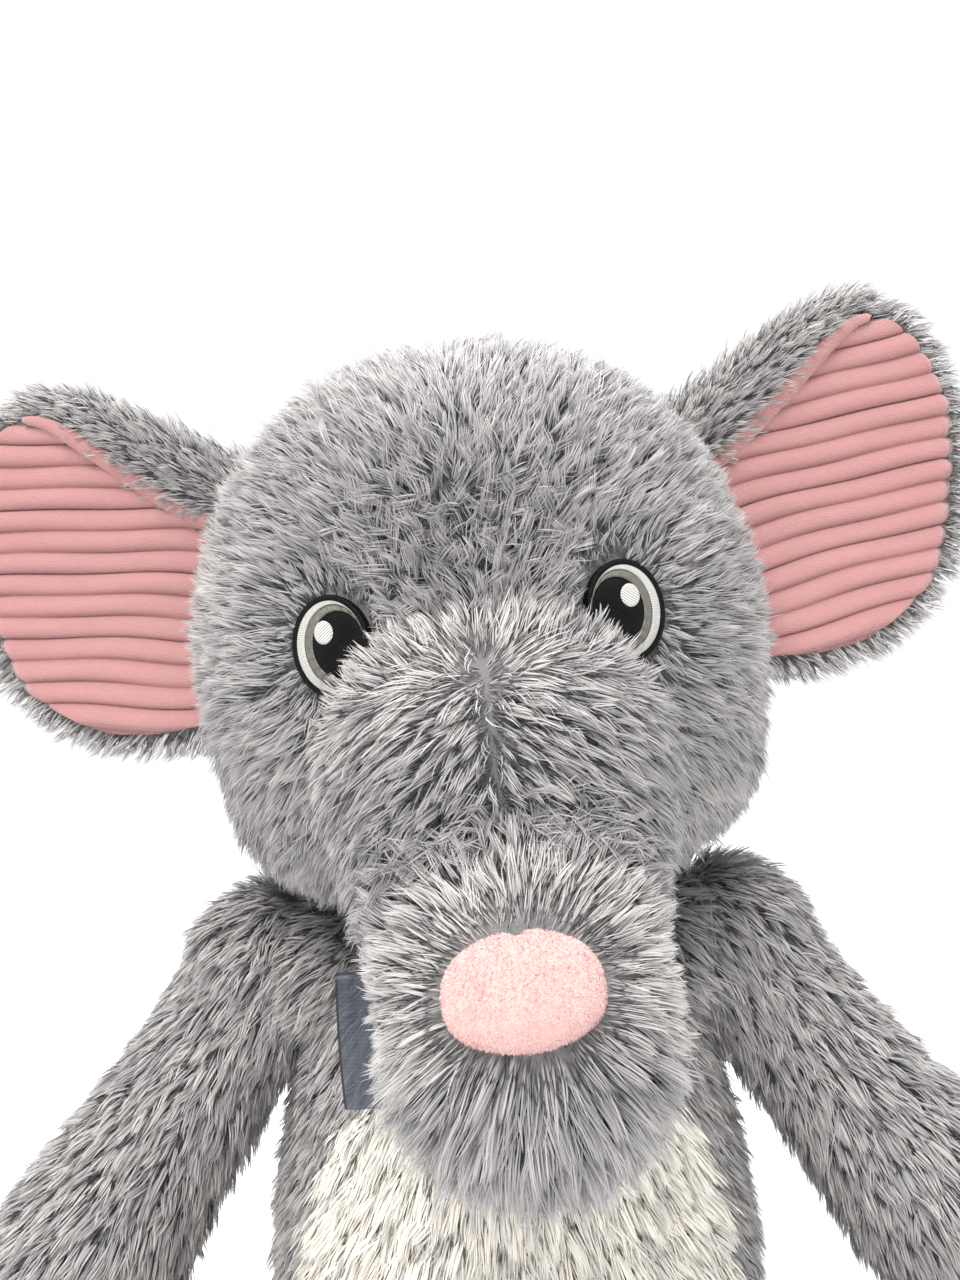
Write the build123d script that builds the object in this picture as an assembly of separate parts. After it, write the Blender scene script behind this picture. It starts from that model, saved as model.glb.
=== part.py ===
from build123d import *

import math
import os

# Sitting stuffed elephant, millimetres, +Z up, facing -Y, resting on z = 0.
# "left" and "right" are the toy's own sides: its left is +X.
# Soft parts are thin sewn covers around separate fillings. Where a soft part bends at a seam,
# the two sides meet in a ball and a seat on one centre, so the filling stays whole as it turns.

# ---------------------------------------------------------------- driving dimensions
COVER = 4.0                     # woven backing with its pressed pile
FILL_GAP = 0.4                  # between a cover and its filling
TURN_GAP = 1.0                  # between a ball and the seat it turns in

HEAD_CENTRE = (0, -20, 432)
HEAD_RADII = (127, 115, 131)    # half width, half depth, half height
HEAD_LEAN = -3.5                # degrees about Y: the head rests leaning to the toy's right
SIDE_SEAM_Y = 10                # the ears are caught in this seam, behind the head's centre

NECK_CENTRE = (0, -10, 306)
NECK_RADIUS = 44
NECK_FILL_RADIUS = 35.5
NECK_BAND_HALF_HEIGHT = 30

EYE_ACROSS = 58                 # from the centre seam to the middle of an eye
EYE_UP = 4.5
EYE_HALF = (16.0, 20.0)         # half width and half height of the stitched patch, from the front
EYE_GREY_HALF = (12.4, 16.2)
EYE_GREY_SHIFT = (2.0, 0.2)     # towards the trunk and up, from the middle of the eye
EYE_BLACK_HALF = (9.8, 12.8)
EYE_BLACK_SHIFT = (4.3, 0.4)
EYE_SPOT_HALF = (4.2, 4.8)
EYE_SPOT_SHIFT = (-1.2, 5.6)
STITCH = 1.0                    # height of one layer of stitching

TRUNK_ROOT = (0, -74, -34)      # from the head's centre
TRUNK_DROP = 56                 # degrees below level
TRUNK_LENGTH = 72
TRUNK_BALL = 56
TRUNK_START = 24                # the tube leaves the ball at this distance
TRUNK_TUBE = [(42, 57), (54, 55)]
TIP_DROP = 46
TIP_LENGTH = 107
TIP_BALL = 39
TIP_TUBE = [(0, 50), (29, 48), (62, 45)]
TIP_RIM_ROOM = 18               # the ball shows for this far, so that the tip can curl
TRUNK_SWEEP = (-7, 1, 9, 18, 27)
PAD_AT = 62                     # the pad faces out from this far along the tip
PAD_DROP = -37
PAD_HALF = (26, 20)
PAD_DOME = (31, 30, 26)
PAD_DOME_AT = 26                # height of the dome's middle over the tip's axis
PAD_SEAT = (34, 60)             # heights that the pad's seat is cut between

EAR_PLANE_Y = 4                 # front of the ear, from the head's centre
EAR_BACK = 4.5
EAR_FILL = 4.5
EAR_LINING = 3.5
EAR_RIM = 5                     # the back's pile shows this far outside the lining
EAR_ROOM = 3.5                  # between the ear's root and the head
EAR_EDGE = [
    (74, 104), (118, 134), (165, 157), (208, 161), (243, 142), (260, 98),
    (260, 50), (244, 8), (214, -22), (172, -34), (122, -30),
]
EAR_MIDDLE = (175, 62)

TORSO_SIDE = [
    (78, 0), (101, 26), (116, 68), (120, 112), (116, 156), (109, 192),
    (103, 222), (96, 248), (87, 268), (74, 283), (60, 292), (46, 296),
]
BELLY_MIDDLE_Z = 138
BELLY_HALF = (94, 118)
SEAT_RADIUS = 70
PELLET_BAG = (56, 26)           # radius and height
PELLET_BAG_Y = 10

SHOULDER = (121, -7, 266)
ARM_AIM = (0.55, -0.36, -0.753)
ARM_BALL = 38
ARM_TUBE = [(50, 31), (100, 33), (140, 38)]
ARM_START = 18
ARM_LENGTH = 182

HIP = (84, -67, 58)
LEG_AIM = (0.30, -0.954, 0.0)
LEG_BALL = 54
LEG_TUBE = [(60, 49), (110, 51), (150, 55)]
LEG_START = 22
LEG_LENGTH = 178
LEG_SWEEP = (0, 8, 16, 24, 31)
SOLE_RADIUS = 42

TAIL_ROOT = (0, 113, 66)
TAIL_AIM = (0, 0.75, -0.66)
TAIL_BALL = 11
TAIL_START = 6
TAIL_TUBE = [(20, 8), (40, 7)]
TAIL_LENGTH = 62
TAIL_SWEEP = (-37, -25, -12, 0, 12, 25, 37)
TAIL_ROOM = 30                  # the swept room reaches this far from the root
TUFT_RADII = (12, 12, 17)

RIBBON = 1.6                    # thickness that the doubled ribbon is given
BAND_LOW = (80, 279.5)          # radius and height of the neck band's edges
BAND_HIGH = (67.5, 291)
KNOT_PLACE = (0, -94, 277)
KNOT_RADII = (11, 8, 10)
LOOP_RADII = (28, 5, 16)
LOOP_PLACE = (38, -99, 275)
BOW_TAIL = [(3, 272), (24, 272), (68, 238), (46, 226)]
BOW_TAIL_Y = -109
LABEL_SIZE = (26, 1.2, 20)
LABEL_UP = 58
LABEL_TURN = 25                 # degrees behind the toy's left side

WIDE = 400                      # larger than any part, for cutting blocks


# ---------------------------------------------------------------- small helpers
def save(shape, node):
    """Writes one piece as its own file."""
    export_step(shape, f"parts/{node}.step")


def save_pair(left, node, place=None):
    """Writes a piece of the toy's left side and its mirror image, each set in place."""
    for name, piece in (("left", left), ("right", mirror(left, about=Plane.YZ))):
        save(place(piece) if place else piece, f"{node}_{name}")


def drop_aim(degrees):
    """Forward and down by so many degrees."""
    angle = math.radians(degrees)
    return (0, -math.cos(angle), -math.sin(angle))


def along(start, aim, distance):
    """The point so far from start along aim."""
    return tuple(s + distance * a for s, a in zip(start, aim))


def aimed(shape, start, aim):
    """A shape made along +Z, set at start and turned to point along aim."""
    return Plane(origin=start, x_dir=(1, 0, 0), z_dir=aim).location * shape


def ball(centre, radius):
    """A ball at a place."""
    return Pos(*centre) * Sphere(radius)


def egg(radii, inset=0.0):
    """An ellipsoid at the origin, less the same amount off every radius."""
    return scale(Sphere(1), by=tuple(float(r - inset) for r in radii))


def turned(edges):
    """A solid turned about Z from a closed outline of edges in the XZ plane."""
    return revolve(make_face(Curve() + edges), Axis.Z)


def left_half(shape):
    """The part of a shape on the toy's left of X = 0."""
    return shape & Pos(WIDE / 2, 0, 0) * Box(WIDE, 3 * WIDE, 3 * WIDE)


def carved(shape, rooms):
    """A shape less each of the rooms in turn."""
    for room in rooms:
        shape -= room
    return shape


def front_block(y):
    """Everything in front of the plane Y = y."""
    return Pos(0, y - WIDE / 2, 0) * Box(3 * WIDE, WIDE, 3 * WIDE)


def limb(radius, start, tube, length, inset=0.0):
    """A ball at the origin that runs into a tube along +Z with a domed end.

    tube holds (distance, radius) pairs, and inset takes the same amount off every face.
    """
    radius -= inset
    neck = (math.sqrt(radius**2 - start**2), 0, start)
    cheek = (radius * math.cos(math.pi / 8), 0, -radius * math.sin(math.pi / 8))
    bottom = (0, 0, -radius)
    top = (0, 0, length - inset)
    wall = [(r - inset, 0, t) for t, r in tube]
    side = Spline(neck, *wall, top, tangents=[(0, 0, 1), (-1, 0, 0)])
    return turned([ThreePointArc(bottom, cheek, neck), side, Line(top, bottom)])


def tube_room(start, tube, far, gap):
    """The room that a tube needs as it swings, from inside its ball to far."""
    wall = [(start, tube[0][1]), *tube, (far, tube[-1][1])]
    rim = [(r + gap, 0, t) for t, r in wall]
    return turned([Polyline((0, 0, start), *rim, (0, 0, far), (0, 0, start))])


def swing(shape, centre, angle):
    """A shape turned about the X direction through centre, positive lifting its front."""
    return Pos(*centre) * Rot(-angle, 0, 0) * Pos(*(-c for c in centre)) * shape


# ---------------------------------------------------------------- head
def head_place(shape):
    """Sets a shape made about the head's own centre in its place, with the head's lean."""
    return Pos(*HEAD_CENTRE) * Rot(0, HEAD_LEAN, 0) * shape


def head_seated(shape):
    """Sets a piece of the head in place and cuts the neck's seat out of it."""
    return head_place(shape) - ball(NECK_CENTRE, NECK_RADIUS + TURN_GAP)


def trunk_room():
    """The room that the trunk's root sweeps out of the face, about the head's centre."""
    room = [ball(TRUNK_ROOT, TRUNK_BALL + TURN_GAP)]
    tube = tube_room(TRUNK_START, TRUNK_TUBE, TRUNK_LENGTH, TURN_GAP)
    for angle in TRUNK_SWEEP:
        room.append(aimed(tube, TRUNK_ROOT, drop_aim(TRUNK_DROP - angle)))
    return room


def make_head():
    """Four sewn panels around the head's filling."""
    room = trunk_room()
    shell = carved(left_half(egg(HEAD_RADII)) - egg(HEAD_RADII, COVER), room)
    front = front_block(SIDE_SEAM_Y)
    save_pair(shell & front, "face_panel", head_seated)
    save_pair(shell - front, "head_back_panel", head_seated)
    save(head_seated(carved(egg(HEAD_RADII, COVER + FILL_GAP), room)), "head_filling")


def eye_layer(low, high, half, shift):
    """A layer of stitching that follows the face, over an oval at the left eye.

    low and high are its heights over the face, half the oval's half sizes and shift its
    place from the middle of the eye, towards the trunk and up.
    """
    across, up = EYE_ACROSS - shift[0], EYE_UP + shift[1]
    skin = egg(HEAD_RADII, -high) - egg(HEAD_RADII, -low)
    return skin & Pos(across, 0, up) * Rot(90, 0, 0) * extrude(Ellipse(*half), WIDE)


def make_eyes():
    """Stitched eyes: dark patch, pale rim, grey ring, black pupil and bright spot."""
    wide, tall = EYE_HALF
    low, high = STITCH, 2 * STITCH
    grey = (low, high, EYE_GREY_HALF, EYE_GREY_SHIFT)
    black = (low, high, EYE_BLACK_HALF, EYE_BLACK_SHIFT)
    layers = {
        "eye_patch": eye_layer(0.1, low, (wide, tall), (0, 0)),
        "eye_pale_rim": eye_layer(low, high, (wide - 1.4, tall - 1.4), (0, 0)) - eye_layer(*grey),
        "eye_grey_ring": eye_layer(*grey) - eye_layer(*black),
        "eye_pupil": eye_layer(*black),
        "eye_bright_spot": eye_layer(high + 0.1, high + STITCH, EYE_SPOT_HALF, EYE_SPOT_SHIFT),
    }
    for node, layer in layers.items():
        save_pair(layer, node, head_place)


# ---------------------------------------------------------------- trunk
def trunk_upper(inset):
    """The trunk from its root ball to the ball that carries the tip, along +Z."""
    root = TRUNK_BALL - inset
    end = TIP_BALL - inset
    rim = TRUNK_LENGTH - TIP_RIM_ROOM - inset
    neck = (math.sqrt(root**2 - TRUNK_START**2), 0, TRUNK_START)
    cheek = (root * math.cos(math.pi / 8), 0, -root * math.sin(math.pi / 8))
    bottom = (0, 0, -root)
    wall = [(r - inset, 0, min(t, rim)) for t, r in TRUNK_TUBE]
    step = (math.sqrt(end**2 - (rim - TRUNK_LENGTH) ** 2), 0, rim)
    crown = (end * math.cos(math.pi / 6), 0, TRUNK_LENGTH + end * math.sin(math.pi / 6))
    top = (0, 0, TRUNK_LENGTH + end)
    edges = [
        ThreePointArc(bottom, cheek, neck),
        Spline(neck, *wall),
        Line(wall[-1], step),
        ThreePointArc(step, crown, top),
        Line(top, bottom),
    ]
    return turned(edges)


def trunk_tip(inset):
    """The tip from its rim to its domed end, along +Z, with the seat for the trunk's ball."""
    top = (0, 0, TIP_LENGTH - inset)
    low = (0, 0, inset)
    wall = [(r - inset, 0, max(t, inset)) for t, r in TIP_TUBE]
    side = Spline(*wall, top, tangents=[(0, 0, 1), (-1, 0, 0)])
    body = turned([Line(low, wall[0]), side, Line(top, low)])
    return body - Sphere(TIP_BALL + TURN_GAP + inset)


def trunk_place(shape):
    """Sets a trunk piece made along +Z about the head's centre."""
    return aimed(shape, TRUNK_ROOT, drop_aim(TRUNK_DROP))


def tip_place(shape):
    """Sets a tip piece made along +Z about the head's centre."""
    knee = along(TRUNK_ROOT, drop_aim(TRUNK_DROP), TRUNK_LENGTH)
    return aimed(shape, knee, drop_aim(TIP_DROP))


def make_trunk():
    """Left and right covers and filling of the trunk and of its tip, and the nose pad."""
    upper = left_half(trunk_upper(0)) - trunk_upper(COVER)
    tip = tip_place(left_half(trunk_tip(0)) - trunk_tip(COVER))
    save_pair(trunk_place(upper), "trunk_cover", head_place)
    save_pair(tip - pad_place(pad_block(0)), "trunk_tip_cover", head_place)
    save(head_place(trunk_place(trunk_upper(COVER + FILL_GAP))), "trunk_filling")
    save(head_place(tip_place(trunk_tip(COVER + FILL_GAP))), "trunk_tip_filling")
    dome = Pos(0, 0, PAD_DOME_AT) * egg(PAD_DOME)
    pad = pad_place(pad_block(FILL_GAP) & dome) - tip_place(trunk_tip(COVER))
    save(head_place(pad), "nose_pad")


def pad_place(shape):
    """Sets a pad piece made along +Z on the front of the tip, about the head's centre."""
    knee = along(TRUNK_ROOT, drop_aim(TRUNK_DROP), TRUNK_LENGTH)
    return aimed(shape, along(knee, drop_aim(TIP_DROP), PAD_AT), drop_aim(PAD_DROP))


def pad_block(inset):
    """The oval room of the nose pad along +Z, less the same amount off its sides."""
    low, high = PAD_SEAT
    wide, tall = PAD_HALF
    return Pos(0, 0, low) * extrude(Ellipse(wide - inset, tall - inset), high - low)


# ---------------------------------------------------------------- ears
def ear_edge(rim):
    """The left ear's outline, each point drawn in by the rim towards the ear's middle."""
    middle = Vector(*EAR_MIDDLE)
    points = [Vector(*point) for point in EAR_EDGE]
    return [point + (middle - point).normalized() * rim for point in points]


def ear_layer(front, thickness, rim):
    """One layer of the left ear: its front at y = front, its outline less a rim all round."""
    edge = ear_edge(rim)
    face = make_face(Curve() + [Spline(*edge), Line(edge[-1], edge[0])])
    layer = Pos(0, front, 0) * Rot(90, 0, 0) * extrude(face, -thickness)
    return layer - egg(HEAD_RADII, -EAR_ROOM)


def make_ears():
    """Ribbed lining, wadding and furry back of both ears."""
    fill_front = EAR_PLANE_Y + EAR_LINING + FILL_GAP
    back_front = fill_front + EAR_FILL + FILL_GAP
    save_pair(ear_layer(EAR_PLANE_Y, EAR_LINING, EAR_RIM), "ear_lining", head_place)
    save_pair(ear_layer(fill_front, EAR_FILL, EAR_RIM + 3), "ear_wadding", head_place)
    save_pair(ear_layer(back_front, EAR_BACK, 0), "ear_back", head_place)


# ---------------------------------------------------------------- neck
def make_neck():
    """The neck's cover and filling, both balls on the neck's centre."""
    shell = Sphere(NECK_RADIUS) - Sphere(NECK_FILL_RADIUS + FILL_GAP)
    band = shell & Box(WIDE, WIDE, 2 * NECK_BAND_HALF_HEIGHT)
    save(Pos(*NECK_CENTRE) * band, "neck_cover")
    save(Pos(*NECK_CENTRE) * Sphere(NECK_FILL_RADIUS), "neck_filling")


# ---------------------------------------------------------------- torso
def torso_blank(inset):
    """The torso's pear shape less the same amount off every face."""
    top_z = TORSO_SIDE[-1][1]
    points = [(r - inset, 0, min(max(z, inset), top_z - inset)) for r, z in TORSO_SIDE]
    low, top = (0, 0, inset), (0, 0, top_z - inset)
    outline = [Line(low, points[0]), Spline(*points), Line(points[-1], top), Line(top, low)]
    return turned(outline)


def left_limb_room():
    """What the left arm and leg take out of the torso."""
    room = [ball(SHOULDER, ARM_BALL + TURN_GAP), ball(HIP, LEG_BALL + TURN_GAP)]
    leg = aimed(tube_room(LEG_START, LEG_TUBE, LEG_LENGTH, TURN_GAP), HIP, LEG_AIM)
    return room + [swing(leg, HIP, angle) for angle in LEG_SWEEP]


def torso_room():
    """What the neck and the tail's swing take out of the torso."""
    tail = tube_room(TAIL_START, [(TAIL_BALL, TAIL_BALL)], TAIL_ROOM, TURN_GAP)
    tail = aimed(tail, (0, 0, 0), TAIL_AIM)
    swept = [Pos(*TAIL_ROOT) * Rot(0, 0, angle) * tail for angle in TAIL_SWEEP]
    return [ball(NECK_CENTRE, NECK_RADIUS + TURN_GAP), ball(TAIL_ROOT, TAIL_BALL + TURN_GAP), *swept]


def make_torso():
    """Belly, seat and two side panels around the torso's filling and pellet bag."""
    room = left_limb_room() + torso_room()
    shell = carved(left_half(torso_blank(0)) - torso_blank(COVER), room)
    seat = Pos(0, 0, COVER / 2) * Cylinder(SEAT_RADIUS, COVER)
    belly_oval = extrude(Ellipse(*BELLY_HALF), WIDE)
    belly_block = Pos(0, 0, BELLY_MIDDLE_Z) * Rot(90, 0, 0) * belly_oval
    belly = shell & belly_block
    save(belly + mirror(belly, about=Plane.YZ), "belly_panel")
    save_pair(shell - belly_block - seat, "torso_panel")
    save(seat, "seat_panel")
    radius, height = PELLET_BAG
    middle = Pos(0, PELLET_BAG_Y, COVER + 2 * FILL_GAP + height / 2)
    save(middle * fillet(Cylinder(radius, height).edges(), 9), "pellet_bag")
    pocket = middle * Cylinder(radius + FILL_GAP, height + 2 * FILL_GAP)
    filling = carved(left_half(torso_blank(COVER + FILL_GAP)), [*room, pocket])
    save(filling + mirror(filling, about=Plane.YZ), "torso_filling")


def make_label():
    """The blank care label, caught in the side seam low on the toy's left."""
    long, thick, tall = LABEL_SIZE
    reach = TORSO_SIDE[2][0] + FILL_GAP + long / 2
    label = Pos(0, 0, LABEL_UP) * Rot(0, 0, LABEL_TURN) * Pos(reach, 0, 0) * Box(long, thick, tall)
    save(label, "care_label")


# ---------------------------------------------------------------- limbs
def make_arms():
    """Cover and filling of both arms."""
    outer, inner, fill = [
        aimed(limb(ARM_BALL, ARM_START, ARM_TUBE, ARM_LENGTH, inset), SHOULDER, ARM_AIM)
        for inset in (0, COVER, COVER + FILL_GAP)
    ]
    save_pair(outer - inner, "arm_cover")
    save_pair(fill, "arm_filling")


def make_legs():
    """Cover, sole and filling of both legs."""
    outer, inner, fill = [
        limb(LEG_BALL, LEG_START, LEG_TUBE, LEG_LENGTH, inset)
        for inset in (0, COVER, COVER + FILL_GAP)
    ]
    core = Pos(0, 0, LEG_LENGTH) * Cylinder(SOLE_RADIUS, LEG_LENGTH / 2)
    shell = outer - inner
    save_pair(aimed(shell - core, HIP, LEG_AIM), "leg_cover")
    save_pair(aimed(shell & core, HIP, LEG_AIM), "sole")
    save_pair(aimed(fill, HIP, LEG_AIM), "leg_filling")


def make_tail():
    """The tail and the tuft on its end."""
    cord = limb(TAIL_BALL, TAIL_START, TAIL_TUBE, TAIL_LENGTH)
    tuft = Pos(0, 0, TAIL_LENGTH) * egg(TUFT_RADII)
    save(aimed(cord - tuft, TAIL_ROOT, TAIL_AIM), "tail_cover")
    save(aimed(tuft, TAIL_ROOT, TAIL_AIM), "tail_tuft")


# ---------------------------------------------------------------- ribbon
def make_ribbon():
    """The neck band, knot, two loops and two tails of the bow."""
    (low_r, low_z), (high_r, high_z) = BAND_LOW, BAND_HIGH
    corners = [(low_r, 0, low_z), (high_r, 0, high_z)]
    corners += [(high_r + RIBBON, 0, high_z), (low_r + RIBBON, 0, low_z), corners[0]]
    knot = Pos(*KNOT_PLACE) * egg(KNOT_RADII)
    save(turned([Polyline(*corners)]) - knot, "ribbon_band")
    save(knot, "ribbon_knot")
    loop = Pos(*LOOP_PLACE) * Rot(0, 4, -8) * egg(LOOP_RADII)
    save_pair(loop - knot, "ribbon_loop")
    slab = extrude(make_face(Polyline(*BOW_TAIL, close=True)), RIBBON / 2, both=True)
    save_pair(Pos(0, BOW_TAIL_Y, 0) * Rot(90, 0, 0) * slab, "ribbon_tail")


def main():
    """Makes every piece."""
    os.makedirs("parts", exist_ok=True)
    make_head()
    make_eyes()
    make_trunk()
    make_ears()
    make_neck()
    make_torso()
    make_label()
    make_arms()
    make_legs()
    make_tail()
    make_ribbon()


main()
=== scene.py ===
"""Sitting stuffed elephant: shaggy plush, ribbed ears, stitched eyes and a sheer bow on its frame."""
import logging
import math
from dataclasses import dataclass, field
from enum import Enum
from typing import Callable, Sequence

import bmesh
import bpy
import numpy as np
from mathutils import Matrix, Vector


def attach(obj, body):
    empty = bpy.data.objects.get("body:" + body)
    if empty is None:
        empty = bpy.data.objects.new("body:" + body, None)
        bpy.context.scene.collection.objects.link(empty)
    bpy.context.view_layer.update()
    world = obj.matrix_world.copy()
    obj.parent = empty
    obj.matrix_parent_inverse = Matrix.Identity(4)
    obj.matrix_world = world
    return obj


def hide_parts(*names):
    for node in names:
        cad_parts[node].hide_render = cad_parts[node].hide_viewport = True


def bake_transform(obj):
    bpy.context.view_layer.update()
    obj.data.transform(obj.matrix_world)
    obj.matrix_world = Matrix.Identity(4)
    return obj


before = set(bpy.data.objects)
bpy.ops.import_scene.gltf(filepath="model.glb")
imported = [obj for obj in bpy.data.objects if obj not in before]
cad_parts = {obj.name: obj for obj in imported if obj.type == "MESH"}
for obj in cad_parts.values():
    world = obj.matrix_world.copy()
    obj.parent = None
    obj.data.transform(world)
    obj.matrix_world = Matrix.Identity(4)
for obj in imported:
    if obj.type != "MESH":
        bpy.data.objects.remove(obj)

Array = np.ndarray
Lie = Callable[[Array, Array], Array]
Share = Callable[[Array], Array]

log = logging.getLogger("elephant")
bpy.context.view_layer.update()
MM = 0.001
HAIR_RINGS = 4                  # pairs of points along a hair, before its tip
HAIRS_IN_A_PIECE = 27000
UP = np.array([0.0, 0.0, 1.0])
FLOOR_ROOM = 0.6                # the lowest that a hair may reach, in millimetres


class Side(Enum):
    """The toy's own left and right."""
    LEFT = 1
    RIGHT = -1

    @property
    def word(self) -> str:
        """The side's name as pieces use it."""
        return self.name.lower()


# ------------------------------------------------------------------ small sums
def unit(aims: Array) -> Array:
    """Directions of length one."""
    return aims / np.maximum(np.linalg.norm(aims, axis=-1, keepdims=True), 1e-9)


def ease(value: Array, low: float, high: float) -> Array:
    """A smooth step from 0 at low to 1 at high."""
    share = np.clip((value - low) / (high - low), 0.0, 1.0)
    return share * share * (3.0 - 2.0 * share)


def bell(value: Array, middle: float, spread: float) -> Array:
    """A soft bump of height one."""
    return np.exp(-(((value - middle) / spread) ** 2))


def smooth_line(corners: Sequence[Sequence[float]], count: int) -> Array:
    """A smooth line through some corners, in evenly spaced points.

    Args:
        corners: The points that the line goes through.
        count: How many points to give back.

    Returns:
        The points, one to a row.
    """
    held = np.asarray(corners, float)
    held = np.vstack([2 * held[0] - held[1], held, 2 * held[-1] - held[-2]])
    steps = np.linspace(0, 1, 24, endpoint=False)[:, None]
    runs = []
    for a, b, c, d in zip(held[:-3], held[1:-2], held[2:-1], held[3:]):
        cubic = -a + 3 * b - 3 * c + d
        square = 2 * a - 5 * b + 4 * c - d
        runs.append(0.5 * (2 * b + (c - a) * steps + square * steps**2 + cubic * steps**3))
    dense = np.vstack([*runs, held[-2][None]])
    run = np.concatenate([[0], np.cumsum(np.linalg.norm(np.diff(dense, axis=0), axis=1))])
    wanted = np.linspace(0, run[-1], count)
    return np.stack([np.interp(wanted, run, column) for column in dense.T], axis=1)


def wander(points: Array, size: float, seed: int) -> Array:
    """A smooth wandering value from about -1 to 1 over space.

    Args:
        points: Places in millimetres.
        size: Rough width of one patch in millimetres.
        seed: Which pattern to use.

    Returns:
        One value for each point.
    """
    rng = np.random.default_rng(seed)
    total = np.zeros(len(points))
    for _ in range(7):
        aim = rng.normal(size=3)
        total += np.sin(points @ (aim / size * 1.6) + rng.uniform(0, 6.28))
    return total / 3.2


# ------------------------------------------------------------------ places
def link_piece(name: str, mesh: bpy.types.Mesh) -> bpy.types.Object:
    """An object for a mesh, in the scene."""
    piece = bpy.data.objects.new(name, mesh)
    bpy.context.scene.collection.objects.link(piece)
    return piece


@dataclass(frozen=True)
class Place:
    """A turn and a shift from a piece's own millimetres to the toy's."""
    turn: Array
    shift: Array

    def points(self, own: Array) -> Array:
        """Own points as the toy's points."""
        return own @ self.turn.T + self.shift

    def own(self, points: Array) -> Array:
        """The toy's points as own points."""
        return (points - self.shift) @ self.turn

    def aims(self, own: Array) -> Array:
        """Own directions as the toy's directions."""
        return own @ self.turn.T


def aimed_place(start: Sequence[float], aim: Sequence[float]) -> Place:
    """A place whose own +Z points along aim, with its own X as near the toy's as it can be."""
    z = unit(np.asarray(aim, float))
    x = unit(np.array([1.0, 0, 0]) - z[0] * z)
    return Place(np.stack([x, np.cross(z, x), z], axis=1), np.asarray(start, float))


@dataclass(frozen=True)
class HeadSizes:
    """The head's own frame and its round form, in millimetres."""
    centre: tuple[float, float, float] = (0, -20, 432)
    radii: tuple[float, float, float] = (127, 115, 131)
    lean: float = -3.5

    def place(self) -> Place:
        """Where things made about the head's centre go."""
        c, s = math.cos(math.radians(self.lean)), math.sin(math.radians(self.lean))
        turn = np.array([[c, 0, s], [0, 1, 0], [-s, 0, c]])
        return Place(turn, np.array(self.centre, float))

    def face(self, x: Array, z: Array, proud: float | Array = 0.0) -> Array:
        """Points on the front of the head, so far proud of it."""
        a, b, c = self.radii
        y = -b * np.sqrt(np.maximum(1 - (x / a) ** 2 - (z / c) ** 2, 0.02))
        skin = np.stack([x, y, z], axis=-1)
        out = unit(skin / np.array([a * a, b * b, c * c]))
        return skin + out * np.asarray(proud)[..., None]


    def depth(self, own: Array) -> Array:
        """How far out a place is from the head's centre, 1 being on its round form."""
        a, b, c = self.radii
        return np.sqrt((own[:, 0] / a) ** 2 + (own[:, 1] / b) ** 2 + (own[:, 2] / c) ** 2)


HEAD = HeadSizes()
HEAD_PLACE = HEAD.place()


# ------------------------------------------------------------------ shaders
class Sock:
    """One output socket of a node, with sums that add Math nodes."""

    def __init__(self, tree: bpy.types.NodeTree, socket: bpy.types.NodeSocket) -> None:
        """Keeps the socket and its tree."""
        self.tree = tree
        self.socket = socket

    def _sum(self, operation: str, first: "Sock | float", second: "Sock | float") -> "Sock":
        """Adds one Math node.

        Args:
            operation: Its operation.
            first: What goes into its first socket.
            second: What goes into its second socket.

        Returns:
            Its output.
        """
        node = self.tree.nodes.new("ShaderNodeMath")
        node.operation = operation
        for place, value in enumerate((first, second)):
            if isinstance(value, Sock):
                self.tree.links.new(value.socket, node.inputs[place])
            else:
                node.inputs[place].default_value = value
        return Sock(self.tree, node.outputs[0])

    def __add__(self, other: "Sock | float") -> "Sock":
        """This plus other."""
        return self._sum("ADD", self, other)

    __radd__ = __add__

    def __mul__(self, other: "Sock | float") -> "Sock":
        """This times other."""
        return self._sum("MULTIPLY", self, other)

    __rmul__ = __mul__

    def __sub__(self, other: "Sock | float") -> "Sock":
        """This less other."""
        return self._sum("SUBTRACT", self, other)

    def __rsub__(self, other: "Sock | float") -> "Sock":
        """Other less this."""
        return self._sum("SUBTRACT", other, self)

    def __gt__(self, other: "Sock | float") -> "Sock":
        """1 where this is more than other."""
        return self._sum("GREATER_THAN", self, other)

    def sine(self) -> "Sock":
        """The sine of this."""
        return self._sum("SINE", self, 0.0)

    def size(self) -> "Sock":
        """This without its sign."""
        return self._sum("ABSOLUTE", self, 0.0)


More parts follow.
